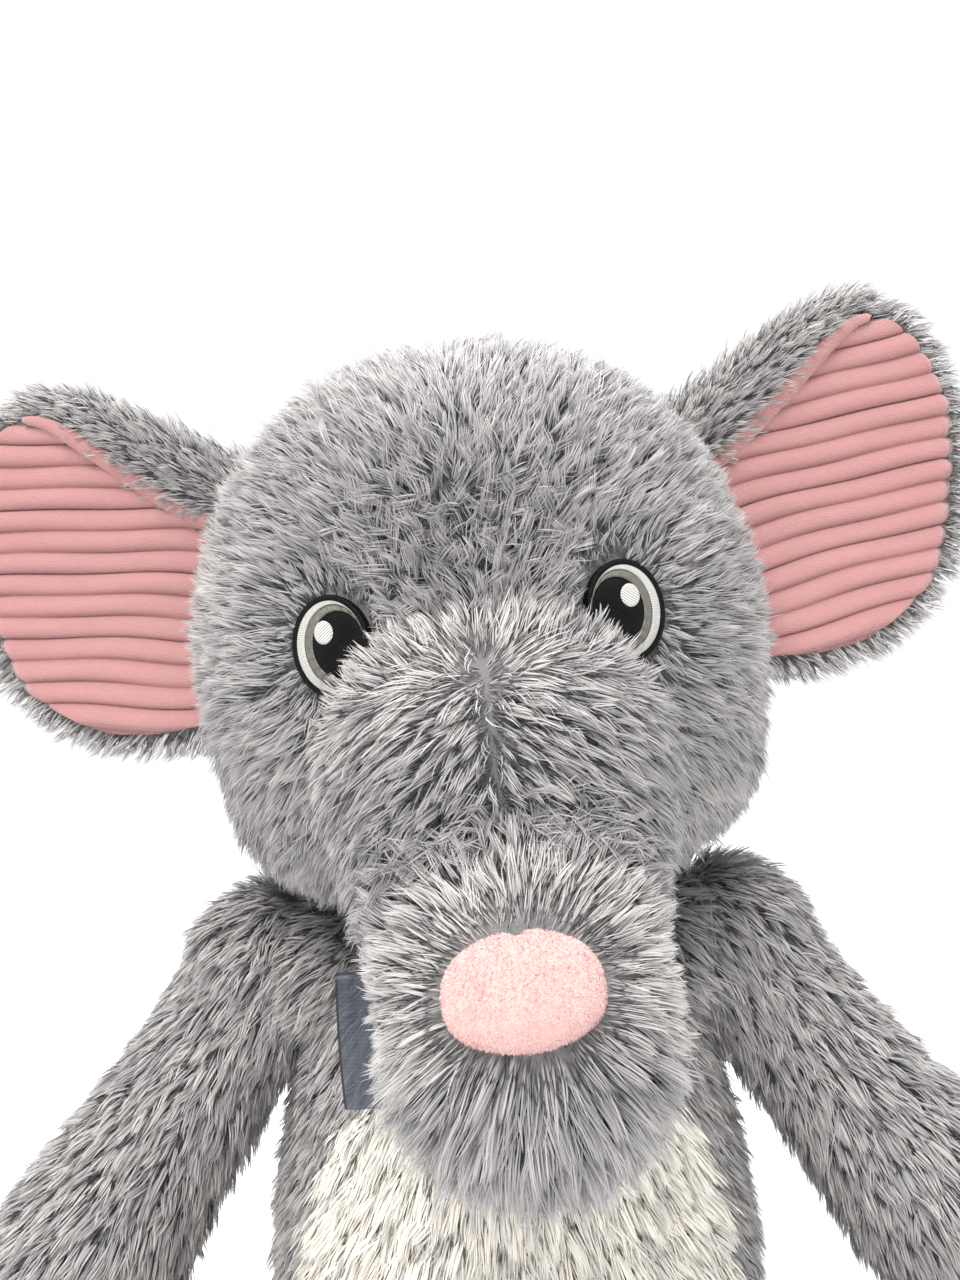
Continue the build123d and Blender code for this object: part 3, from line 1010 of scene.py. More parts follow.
    def build(self) -> None:
        """Makes the head's cloth and plush."""
        skin = self.skin()
        sides = ("left", "right")
        covers = [f"{node}_{side}" for node in ("face_panel", "head_back_panel") for side in sides]
        cloth = self.bench.put(self.bench.skin("head_cloth", skin, "grey_backing"), "head",
                               "grey_plush", *covers, "head_filling")
        pile = Pile(length=21, width=0.66, density=0.85, lock=4.2, gather=0.5, stray=14,
                    root_angle=34, tip_angle=74, droop=0.14)
        coat = Coat(pile, self.lie, 11, self.keep, self.reach, self.tone, self.mess)
        for piece in coat.pieces(self.bench, "head_plush", skin, "grey_hair"):
            self.bench.put(piece, "head", "grey_plush")


# ------------------------------------------------------------------ eyes
@dataclass(frozen=True)
class Oval:
    """An oval on the face: half sizes and its shift from the eye's middle, in millimetres."""
    half: tuple[float, float]
    inward: float = 0.0
    up: float = 0.0

    def point(self, angle: Array, share: Array | float = 1.0) -> tuple[Array, Array]:
        """Places on the oval, or within it, from the eye's middle."""
        return (self.half[0] * share * np.cos(angle) - self.inward,
                self.half[1] * share * np.sin(angle) + self.up)


@dataclass(frozen=True)
class Eyes:
    """Stitched eyes: a domed patch with laid threads."""
    bench: Bench
    across: float = 58.0
    up: float = 4.5
    proud: float = 7.0
    dome: float = 1.4
    outline: Oval = Oval((16.4, 20.5))
    rim: Oval = Oval((14.3, 18.1), 0.2)
    grey: Oval = Oval((12.3, 15.9), 2.2, 0.2)
    pupil: Oval = Oval((10.5, 13.0), 4.0, 0.3)
    spot: Oval = Oval((4.2, 4.8), -1.2, 5.6)
    spokes: int = 300

    def _face(self, side: Side, x: Array, z: Array, lift: Array | float) -> Array:
        """Places on the domed patch of one eye."""
        far = np.clip((x / self.outline.half[0]) ** 2 + (z / self.outline.half[1]) ** 2, 0, 1)
        proud = self.proud + self.dome * (1 - far) + lift
        own = HEAD.face(side.value * (self.across + x), self.up + z, proud)
        return HEAD_PLACE.points(own.reshape(-1, 3)).reshape(own.shape)

    def _ring(self, side: Side, name: str, outer: Oval, inner: Oval | None, lift: float,
              finish: str, threads: int) -> bpy.types.Object:
        """Threads laid from one oval to another, or right across one.

        Args:
            side: Which eye.
            name: The piece's name.
            outer: The outer oval.
            inner: The inner oval, or none for a full disc.
            lift: How far it stands over the patch.
            finish: Which finish it wears.
            threads: How many ridges it has.

        Returns:
            The piece.
        """
        rows = 12 if inner else 26
        turn = np.linspace(0, 2 * math.pi, self.spokes, endpoint=False)[None]
        share = np.linspace(0, 1, rows)[:, None]
        ox, oz = outer.point(turn)
        ix, iz = inner.point(turn) if inner else outer.point(turn, 0.0)
        x, z = ox + (ix - ox) * share, oz + (iz - oz) * share
        if inner:
            ridge = np.abs(np.sin(turn * threads / 2)) + 0 * share
        else:
            ridge = np.abs(np.sin((z * 0.8 + x * 0.6) * 3.4))
        edge = np.clip(np.minimum(share, 1 - share if inner else 1.0) * 5, 0, 1) ** 0.5
        skin_points = self._face(side, x, z, lift * edge + 0.16 * ridge * edge - 0.25 * (1 - edge))
        skin = Skin(skin_points, out=HEAD_PLACE.aims(np.array([0, -1.0, 0])))
        flat = skin.points.reshape(-1, 3)
        piece = self.bench.mesh(name, flat, skin.faces(), finish)
        self._store(piece, flat, ridge + 0 * x)
        return piece

    @staticmethod
    def _store(piece: bpy.types.Object, flat: Array, ridge: Array) -> None:
        """Stores the ridges on the mesh's points, which may be fewer than were given."""
        mesh = piece.data
        tree = {tuple(np.round(p * MM, 6)): r for p, r in zip(flat, ridge.ravel())}
        values = [tree.get(tuple(round(c, 6) for c in v.co), 0.5) for v in mesh.vertices]
        # The ridge values also set the painted shade between the threads.
        mesh.attributes.new("thread", "FLOAT", "POINT").data.foreach_set("value", values)

    def _patch(self, side: Side) -> bpy.types.Object:
        """The raised dark patch with its satin edge, closed down to the face."""
        turn = np.linspace(0, 2 * math.pi, self.spokes, endpoint=False)[None]
        rings = [(0.0, 0.0), (0.3, 0.0), (0.6, 0.0), (0.84, 0.0), (0.90, 0.35), (0.95, 0.55),
                 (0.985, 0.3), (1.0, -0.4), (1.0, -3.0), (0.97, -7.5)]
        ridge = np.abs(np.sin(turn * 55))
        rows, ridges = [], []
        for share, lift in rings:
            x, z = self.outline.point(turn, share)
            rim = 1.0 if 0.86 < share else 0.0
            rows.append(self._face(side, x, z, lift + 0.14 * ridge * rim)[0])
            ridges.append(ridge[0] * rim + 0.4 * (1 - rim))
        skin = Skin(np.stack(rows), out=HEAD_PLACE.aims(np.array([0, -1.0, 0])))
        flat = skin.points.reshape(-1, 3)
        piece = self.bench.mesh(f"eye_cloth_{side.word}", flat, skin.faces(), "black_thread")
        self._store(piece, flat, np.stack(ridges))
        return piece

    def build(self) -> None:
        """Makes both eyes."""
        for side in Side:
            word = side.word
            layers = [
                (self._patch(side), "black_thread", "eye_patch"),
                (self._ring(side, f"eye_rim_{word}", self.rim, self.grey, 0.5, "white_thread", 150),
                 "white_thread", "eye_pale_rim"),
                (self._ring(side, f"eye_grey_{word}", self.grey, self.pupil, 0.45, "olive_thread", 140),
                 "olive_grey_thread", "eye_grey_ring"),
                (self._ring(side, f"eye_black_{word}", self.pupil, None, 0.35, "black_thread", 40),
                 "black_thread", "eye_pupil"),
                (self._ring(side, f"eye_spot_{word}", self.spot, None, 0.95, "white_thread", 30),
                 "white_thread", "eye_bright_spot"),
            ]
            for piece, slot, node in layers:
                self.bench.put(piece, "head", slot, f"{node}_{word}")


# ------------------------------------------------------------------ trunk
@dataclass(frozen=True)
class Trunk:
    """The trunk, its tip and the pad on its end, about the head's centre."""
    bench: Bench
    root: tuple[float, float, float] = (0, -74, -34)
    drops: tuple[float, float] = (56.0, 46.0)
    end: float = 179.0
    behind: float = -34.0
    pad_at: float = 134.0
    pad_drop: float = -37.0
    pad_half: tuple[float, float] = (27.5, 19.0)
    rows: int = 150
    columns: int = 140

    def _line(self) -> tuple[Array, Array, Array]:
        """The trunk's middle line: distances, points and directions."""
        along = np.linspace(self.behind, self.end, self.rows)
        drop = np.radians(self.drops[0] + (self.drops[1] - self.drops[0]) * ease(along, 54, 96))
        aims = np.stack([0 * drop, -np.cos(drop), -np.sin(drop)], axis=1)
        steps = np.diff(along)[:, None] * (aims[1:] + aims[:-1]) / 2
        points = np.vstack([np.zeros(3), np.cumsum(steps, axis=0)])
        start = points[np.argmin(np.abs(along))]
        return along, points - start + np.array(self.root, float), aims

    @staticmethod
    def _radius(along: Array) -> Array:
        """The trunk's radius along its length."""
        corners = [(-34, 36), (-20, 58), (0, 67), (20, 70), (42, 67), (54, 63), (72, 57),
                   (100, 50), (134, 46)]
        s, r = np.array(corners, float).T
        tube = np.interp(along, s, r)
        dome = np.clip((along - 130) / 49.0, 0, 1)
        return tube * np.sqrt(np.maximum(1 - dome**2.1, 0)) * np.where(along > -33.9, 1.0, 0.0)

    def skin(self) -> Skin:
        """The trunk's cloth from inside the head to its domed end."""
        along, points, aims = self._line()
        radius = self._radius(along)[:, None]
        up = unit(np.cross(np.array([1.0, 0, 0]), aims))
        up = up * np.sign(up[:, 2:3])
        turn = np.linspace(0, 2 * math.pi, self.columns, endpoint=False)[None, :, None]
        groove = 1 - 0.03 * bell(np.abs(np.angle(np.exp(1j * turn))), 0, 0.10)
        ring = (np.sin(turn) * np.array([1.0, 0, 0]) + np.cos(turn) * up[:, None]) * groove
        own = points[:, None] + radius[:, None] * ring
        return Skin(HEAD_PLACE.points(own.reshape(-1, 3)).reshape(own.shape))

    def where(self, points: Array) -> tuple[Array, Array, Array, Array]:
        """How far along a place is, how far round from the top, and its directions there."""
        own = HEAD_PLACE.own(points)
        along, line, aims = self._line()
        tree = own @ aims.T - np.sum(line * aims, axis=1)[None]
        gaps = np.linalg.norm(own[:, None] - line[None], axis=2)
        pick = np.argmin(np.abs(tree) + 0.02 * gaps, axis=1)
        aim = aims[pick]
        up = unit(np.cross(np.array([1.0, 0, 0]), aim))
        up = up * np.sign(up[:, 2:3])
        gap = own - line[pick]
        round_ = np.arctan2(gap[:, 0], np.sum(gap * up, axis=1))
        around = np.cos(round_)[:, None] * np.array([1.0, 0, 0]) - np.sin(round_)[:, None] * up
        return along[pick], round_, aim, around

    def pad_place(self) -> Place:
        """Where the pad's own +Z goes, from the middle of the tip, about the head's centre."""
        along, line, _ = self._line()
        angle = math.radians(self.pad_drop)
        middle = line[np.argmin(np.abs(along - self.pad_at))]
        return aimed_place(middle, (0, -math.cos(angle), -math.sin(angle)))

    def from_pad(self, points: Array) -> tuple[Array, Array, Array]:
        """Places about the pad: how far from its middle in its own half sizes, the direction
        away from it, and its own upward distance."""
        place = self.pad_place()
        own = place.own(HEAD_PLACE.own(points))
        upward = 1.0 if place.turn[2, 1] > 0 else -1.0
        away = own - np.array([0, 0, 40.0])
        far = np.hypot(own[:, 0] / self.pad_half[0], own[:, 1] / self.pad_half[1])
        far = np.where(own[:, 2] > 0, far, 9.0)
        return far, unit(place.aims(away)), own[:, 1] * upward

    def lie(self, points: Array, normals: Array) -> Array:
        """A fan up over the face, a parting along the top, and a burst away from the pad."""
        along, round_, aim, around = self.where(points)
        side = np.sign(round_)[:, None]
        fan = -aim * 1.0 + around * side * 0.45
        parting = aim * 0.62 + around * side * (0.7 + 0.2 * np.abs(np.sin(round_)))[:, None]
        _, burst, _ = self.from_pad(points)
        first = ease(along, 6, 30)[:, None]
        last = ease(along, 82, 98)[:, None]
        mixed = fan * (1 - first) + parting * first
        return HEAD_PLACE.aims(mixed * (1 - last) + burst * last)

    def keep(self, points: Array) -> Array:
        """None inside the head or under the pad."""
        own = HEAD_PLACE.own(points)
        along, _, _, _ = self.where(points)
        far, _, _ = self.from_pad(points)
        out = HEAD.depth(own)
        return (ease(out, 0.93, 0.97) * ease(far, 0.88, 0.92) * ease(along, -30, -25)
                * (0.75 + 0.25 * ease(along, 85, 115)))

    def reach(self, points: Array) -> Array:
        """Short over the pad, longest below it."""
        along, _, _, _ = self.where(points)
        _, _, up = self.from_pad(points)
        tip = ease(along, 82, 98)
        burst = 0.80 + 0.34 * ease(-up, -8, 34)
        return (1 - tip) * 0.86 + tip * burst

    def tone(self, points: Array) -> Array:
        """Pale fan and pale burst, with painted shade where they meet and under the trunk."""
        along, round_, _, _ = self.where(points)
        far, _, up = self.from_pad(points)
        above = np.cos(round_)
        fan = 0.34 * (1 - ease(along, 16, 46)) * np.clip(above, 0, 1)
        # Painted shade in the fold where the fan meets the burst.
        meet = -0.14 * bell(along, 84, 15) * np.clip(above + 0.2, 0, 1)
        burst = 0.36 * (1 - ease(far, 1.5, 2.9)) * ease(up, -26, -4)
        seam = -0.08 * bell(round_, 0, 0.07) * bell(along, 50, 30)
        # Painted shade: the underside of the trunk is darkened.
        under = -0.10 * np.clip(-above, 0, 1)
        return fan + meet + burst + seam + under

    def press(self, points: Array) -> Array:
        """Flat beside the pad and where the fan starts."""
        along, round_, _, _ = self.where(points)
        far, _, _ = self.from_pad(points)
        return np.maximum(1 - ease(far, 1.0, 1.7), 0.8 * bell(along, 18, 14) * bell(round_, 0, 0.5))

    def mess(self, points: Array) -> Array:
        """Tangled where the two lies meet."""
        along, round_, _, _ = self.where(points)
        meet = 0.7 * bell(along, 82, 13) * np.clip(np.cos(round_) + 0.2, 0, 1)
        return meet + 0.3 * bell(along, 18, 12) * bell(round_, 0, 0.3)

    def pad(self) -> None:
        """The puffed oval pad, with a stitched edge and a notch at its top."""
        place = self.pad_place()
        share = np.concatenate([np.linspace(0, 1, 40), [1.0, 0.97]])[:, None]
        turn = np.linspace(0, 2 * math.pi, 160, endpoint=False)[None]
        upward = math.pi / 2 if place.turn[2, 1] > 0 else -math.pi / 2
        off = np.angle(np.exp(1j * (turn - upward)))
        notch = bell(off, 0, 0.11) * ease(share, 0.7, 1.0)
        scale = share - 0.085 * notch
        wide, tall = self.pad_half
        swell = 1 - 0.05 * np.cos(2 * (turn - upward)) ** 2
        crown = 43.5 + 8.5 * np.sqrt(np.maximum(1 - share**2.7, 0)) - 2.6 * notch * (share < 1)
        rough = (0.12 * np.sin(share * 60 + 3 * np.sin(turn * 9)) * np.sin(turn * 31)
                 * ease(share, 0.1, 0.4))
        pinch = -0.45 * np.abs(np.sin(turn * 22)) * ease(share, 0.86, 0.99)
        height = crown + (rough + pinch) * (share < 1) - 3.0 * share**2 * np.cos(turn) ** 2
        height[-2:] -= np.array([[3.0], [6.5]])
        own = np.stack([wide * scale * np.cos(turn) * swell * 1.02, tall * scale * np.sin(turn),
                        height], axis=-1)
        head = place.points(own.reshape(-1, 3))
        skin = Skin(HEAD_PLACE.points(head).reshape(own.shape), out=HEAD_PLACE.aims(place.turn[:, 2]))
        piece = self.bench.put(self.bench.skin("nose_pad_cloth", skin, "pink_short"), "trunk_tip",
                               "pink_short_plush", "nose_pad")
        pile = Pile(length=1.5, width=0.25, density=4.0, lock=1.1, gather=0.2, root_angle=10,
                    tip_angle=45, stray=40, droop=0.1, softness=0.85)
        coat = Coat(pile, lambda p, n: np.broadcast_to(-UP, p.shape), 31)
        for fuzz in coat.pieces(self.bench, "nose_pad_pile", skin, "pink_hair"):
            self.bench.put(fuzz, "trunk_tip", "pink_short_plush")

    def build(self) -> None:
        """Makes the trunk's cloth, plush and pad."""
        skin = self.skin()
        along, line, _ = self._line()
        ends = tuple(HEAD_PLACE.points(line[np.argmin(np.abs(along - s))]) for s in (54.0, 92.0))
        bodies = ("trunk", "trunk_tip")
        covers = [f"{node}_{side.word}" for node in ("trunk_cover", "trunk_tip_cover") for side in Side]
        cloth = self.bench.bend(self.bench.skin("trunk_cloth", skin, "grey_backing"), bodies, ends,
                                "grey_plush", *covers, "trunk_filling", "trunk_tip_filling")
        pile = Pile(length=21, width=0.64, density=0.9, lock=4.4, gather=0.55, stray=12,
                    root_angle=34, tip_angle=74, droop=0.12)
        coat = Coat(pile, self.lie, 23, self.keep, self.reach, self.tone, self.mess,
                    self.press)
        for piece in coat.pieces(self.bench, "trunk_plush", skin, "grey_hair"):
            self.bench.bend(piece, bodies, ends, "grey_plush")
        self.pad()


# ------------------------------------------------------------------ ears
@dataclass(frozen=True)
class Ear:
    """One cupped ear: ribbed lining in front, plush behind and rolled over the top edge."""
    bench: Bench
    side: Side
    front: float = 4.0
    rib: float = 11.4
    rib_height: float = 3.3
    rib_rise: float = 7.0
    lining_edge: tuple = ((100, 58), (133, 80), (158, 101), (183, 122), (205, 139), (222, 143),
                          (240, 131), (253, 108), (257, 85), (254, 55), (249, 30), (241, 8),
                          (228, -8), (205, -22), (180, -26), (150, -27), (118, -24))
    roll: tuple = ((104, 80, 12.5), (132, 95, 11.5), (160, 117, 9.5), (186, 137, 7.5),
                   (208, 148, 5.0), (224, 149, 3.5))
    fold: tuple = ((98, 58), (120, 70), (145, 86), (168, 105), (190, 124), (207, 137), (220, 141))
    plush_edge: tuple = ((74, 92), (118, 112), (165, 138), (206, 152), (240, 140), (258, 98),
                         (259, 50), (244, 8), (214, -22), (172, -34), (122, -30))

    @staticmethod
    def cup(x: Array, z: Array) -> Array:
        """How far the ear bows forward at a place, towards its outer and lower edges."""
        out = ease(np.hypot((x - 150) / 110, (z - 60) / 100), 0.25, 1.15)
        return -9.0 * out + 5.0 * bell(x, 165, 55) * bell(z, 45, 60)

    def set(self, own: Array) -> Array:
        """Own places of a left ear as the toy's places for this side."""
        flipped = own * np.array([self.side.value, 1.0, 1.0])
        return HEAD_PLACE.points(flipped.reshape(-1, 3)).reshape(own.shape)

    def own(self, points: Array) -> Array:
        """The toy's places as own places of a left ear."""
        return HEAD_PLACE.own(points) * np.array([self.side.value, 1.0, 1.0])

    def lining(self) -> bpy.types.Object:
        """The ribbed lining, whose ribs run out from the head and rise a little."""
        outline = smooth_line([*self.lining_edge], 500)
        outline = np.vstack([outline, outline[:1]])
        c, s = math.cos(math.radians(self.rib_rise)), math.sin(math.radians(self.rib_rise))
        run, lift = outline @ np.array([c, s]), outline @ np.array([-s, c])
        rows = np.linspace(lift.min() + 0.05, lift.max() - 0.05, 236)
        columns = np.linspace(0, 1, 64) ** 0.9
        low, high = np.empty(len(rows)), np.empty(len(rows))
        for number, row in enumerate(rows):
            hit = np.flatnonzero((lift[:-1] - row) * (lift[1:] - row) <= 0)
            share = (row - lift[hit]) / (lift[hit + 1] - lift[hit] + 1e-9)
            met = run[hit] + (run[hit + 1] - run[hit]) * share
            low[number], high[number] = met.min(), met.max()
        phase = rows / self.rib
        crown = np.sqrt(np.maximum(1 - (2 * (phase - np.floor(phase)) - 1) ** 2, 0))
        high = high + 1.6 * (crown - 0.6)
        along = low[:, None] + (high - low)[:, None] * columns
        across = rows[:, None] + 0 * along
        sway = (1.7 * np.sin(along / 27 + rows[:, None] / 39)
                + 0.8 * np.sin(along / 13 + rows[:, None] / 22))
        across = across + sway * ease(columns, 0, 0.2) * 0.9
        x, z = along * c - across * s, along * s + across * c
        border = np.minimum(1 - columns[None], 0.5) * 2
        ends = np.minimum(np.linspace(0, 1, len(rows)), np.linspace(1, 0, len(rows)))[:, None]
        tuck = (1 - ease(border, 0, 0.09)) * 6.0 + (1 - ease(ends, 0, 0.03)) * 5.0
        waves = 1.2 * np.sin(along / 24 + across / 60)
        wear = 0.8 + 0.2 * np.sin(along / 17 + np.floor(phase)[:, None] * 2.3)
        relief = self.rib_height * crown[:, None] * wear
        y = self.front + self.cup(x, z) + tuck - relief - waves
        own = np.stack([x, y, z], axis=-1)
        skin = Skin(self.set(own), wrap=False, out=np.array([0, -1.0, 0]))
        back = Skin(self.set(own + np.array([0, 3.4, 0]) + np.array([0, 1.0, 0]) * relief[..., None]),
                    wrap=False, out=np.array([0, 1.0, 0]))
        piece = self._closed(f"ear_lining_cloth_{self.side.word}", skin, back)
        # The rib values choose the ribbed finish's colour, which is painted shade in the grooves.
        values = np.concatenate([(crown[:, None] * (0.85 + 0.15 * border) + 0 * along).ravel()] * 2)
        piece.data.attributes.new("rib", "FLOAT", "POINT").data.foreach_set("value", values)
        return piece

    def _closed(self, name: str, front: Skin, back: Skin) -> bpy.types.Object:
        """Joins a front and a back sheet all round into one closed piece."""
        rows, columns = front.points.shape[:2]
        index = np.arange(rows * columns).reshape(rows, columns)
        rim = np.concatenate([index[0, :-1], index[:-1, -1], index[-1, :0:-1], index[:0:-1, 0]])
        after = np.roll(rim, -1)
        total = rows * columns
        walls = np.stack([rim, after, after + total, rim + total], axis=1)
        first, second = front.faces(), back.faces() + total
        mesh = bpy.data.meshes.new(name)
        points = np.vstack([front.points.reshape(-1, 3), back.points.reshape(-1, 3)]) * MM
        mesh.from_pydata(points.tolist(), [], np.vstack([first, second, walls]).tolist())
        shape = bmesh.new()
        shape.from_mesh(mesh)
        bmesh.ops.recalc_face_normals(shape, faces=shape.faces)
        shape.to_mesh(mesh)
        shape.free()
        mesh.shade_smooth()
        mesh.materials.append(self.bench.finishes["pink_ribbed"])
        return link_piece(name, mesh)

    def blade(self) -> Skin:
        """The padded back of the ear, closed round its outline."""
        outline = smooth_line(self.plush_edge, 150)
        root = smooth_line([self.plush_edge[-1], (112, 30), self.plush_edge[0]], 40)[1:-1]
        loop = np.vstack([outline, root])
        middle = np.array([165.0, 62.0])
        shares = np.concatenate([np.linspace(0, 1, 30), np.linspace(1, 0, 30)[1:]])
        rows = []
        for number, share in enumerate(shares):
            flat = middle + (loop - middle) * share
            bulge = math.sqrt(max(1 - share**3, 0))
            behind = number < 30
            y = (self.front + 8.5 + (6.5 * bulge if behind else -5.0 * bulge)
                 + self.cup(flat[:, 0], flat[:, 1]))
            rows.append(np.stack([flat[:, 0], y, flat[:, 1]], axis=1))
        return Skin(self.set(np.stack(rows)))

    def rolled(self) -> Skin:
        """The plush that rolls over the top edge, as a tapering tube."""
        held = smooth_line([(x, z, r) for x, z, r in self.roll], 60)
        x, z, radius = held.T
        line = np.stack([x, self.front + 5 + self.cup(x, z), z], axis=1)
        aims = unit(np.gradient(line, axis=0))
        across = unit(np.cross(aims, np.array([0, 1.0, 0])))
        other = np.cross(aims, across)
        turn = np.linspace(0, 2 * math.pi, 40, endpoint=False)[None, :, None]
        ends = np.sin(np.linspace(0.0, math.pi, 60)) ** 0.25
        ring = (np.cos(turn) * across[:, None] * 1.5 + np.sin(turn) * other[:, None] * 0.8)
        return Skin(self.set(line[:, None] + ring * (radius * ends)[:, None, None]))

    def folded_edge(self) -> bpy.types.Object:
        """The smooth fold of the lining that runs along under the rolled plush."""
        line = smooth_line(self.fold, 80)
        x, z = line.T
        radius = 4.6 * np.sin(np.linspace(0.12, math.pi - 0.05, 80)) ** 0.4
        line = np.stack([x, self.front - 2.5 + self.cup(x, z), z], axis=1)
        aims = unit(np.gradient(line, axis=0))
        across = unit(np.cross(aims, np.array([0, 1.0, 0])))
        other = np.cross(aims, across)
        turn = np.linspace(0, 2 * math.pi, 36, endpoint=False)[None, :, None]
        ring = np.cos(turn) * across[:, None] * 1.15 + np.sin(turn) * other[:, None] * 0.75
        radius[[0, -1]] = 0
        tube = Skin(self.set(line[:, None] + ring * radius[:, None, None]))
        piece = self.bench.skin(f"ear_fold_{self.side.word}", tube, "pink_ribbed")
        values = np.full(len(piece.data.vertices), 0.82)
        piece.data.attributes.new("rib", "FLOAT", "POINT").data.foreach_set("value", values)
        return piece

    def lie(self, points: Array, normals: Array) -> Array:
        """Outwards from the ear's root, drooping below."""
        own = self.own(points)
        away = np.stack([own[:, 0] - 95, 0.2 + 0 * own[:, 0], own[:, 2] - 52], axis=1)
        aim = unit(away) * np.array([self.side.value, 1.0, 1.0])
        return HEAD_PLACE.aims(aim) - 0.25 * UP

    def keep(self, points: Array) -> Array:
        """Behind, round the rim, and nowhere under the lining."""
        own = self.own(points)
        behind = own[:, 1] - (self.front + self.cup(own[:, 0], own[:, 2])) > 6.0
        out = HEAD.depth(own)
        return np.where(behind, 1.0, 0.0) * ease(out, 0.98, 1.02)

    def roll_keep(self, points: Array) -> Array:
        """All of the roll outside the head."""
        own = self.own(points)
        out = HEAD.depth(own)
        return ease(out, 0.98, 1.02)

    def build(self) -> None:
        """Makes the ear."""
        word, body = self.side.word, f"ear_{self.side.word}"
        lining = self.bench.put(self.lining(), body, "pink_ribbed_plush", f"ear_lining_{word}")
        blade = self.blade()
        cloth = self.bench.put(self.bench.skin(f"ear_cloth_{word}", blade, "grey_backing"), body,
                               "grey_plush", f"ear_back_{word}", f"ear_wadding_{word}")
        fold = self.bench.put(self.folded_edge(), body, "pink_ribbed_plush")
        roll = self.rolled()
        rolled = self.bench.put(self.bench.skin(f"ear_roll_{word}", roll, "grey_backing"), body,
                                "grey_plush")
        seed = 40 + self.side.value
        pile = Pile(length=15, width=0.8, density=0.40, lock=4.6, gather=0.5, root_angle=32,
                    tip_angle=70, stray=15)
        behind = Coat(pile, self.lie, seed, self.keep, tone=paler)
        for piece in behind.pieces(self.bench, f"ear_plush_{word}", blade, "grey_hair"):
            self.bench.put(piece, body, "grey_plush")
        top = Pile(length=12.5, width=0.62, density=1.0, lock=4.0, gather=0.5, root_angle=30,
                   tip_angle=68, stray=15)
        front = Coat(top, self.lie, seed + 7, self.roll_keep, tone=paler)
        for piece in front.pieces(self.bench, f"ear_roll_plush_{word}", roll, "grey_hair"):
            self.bench.put(piece, body, "grey_plush")


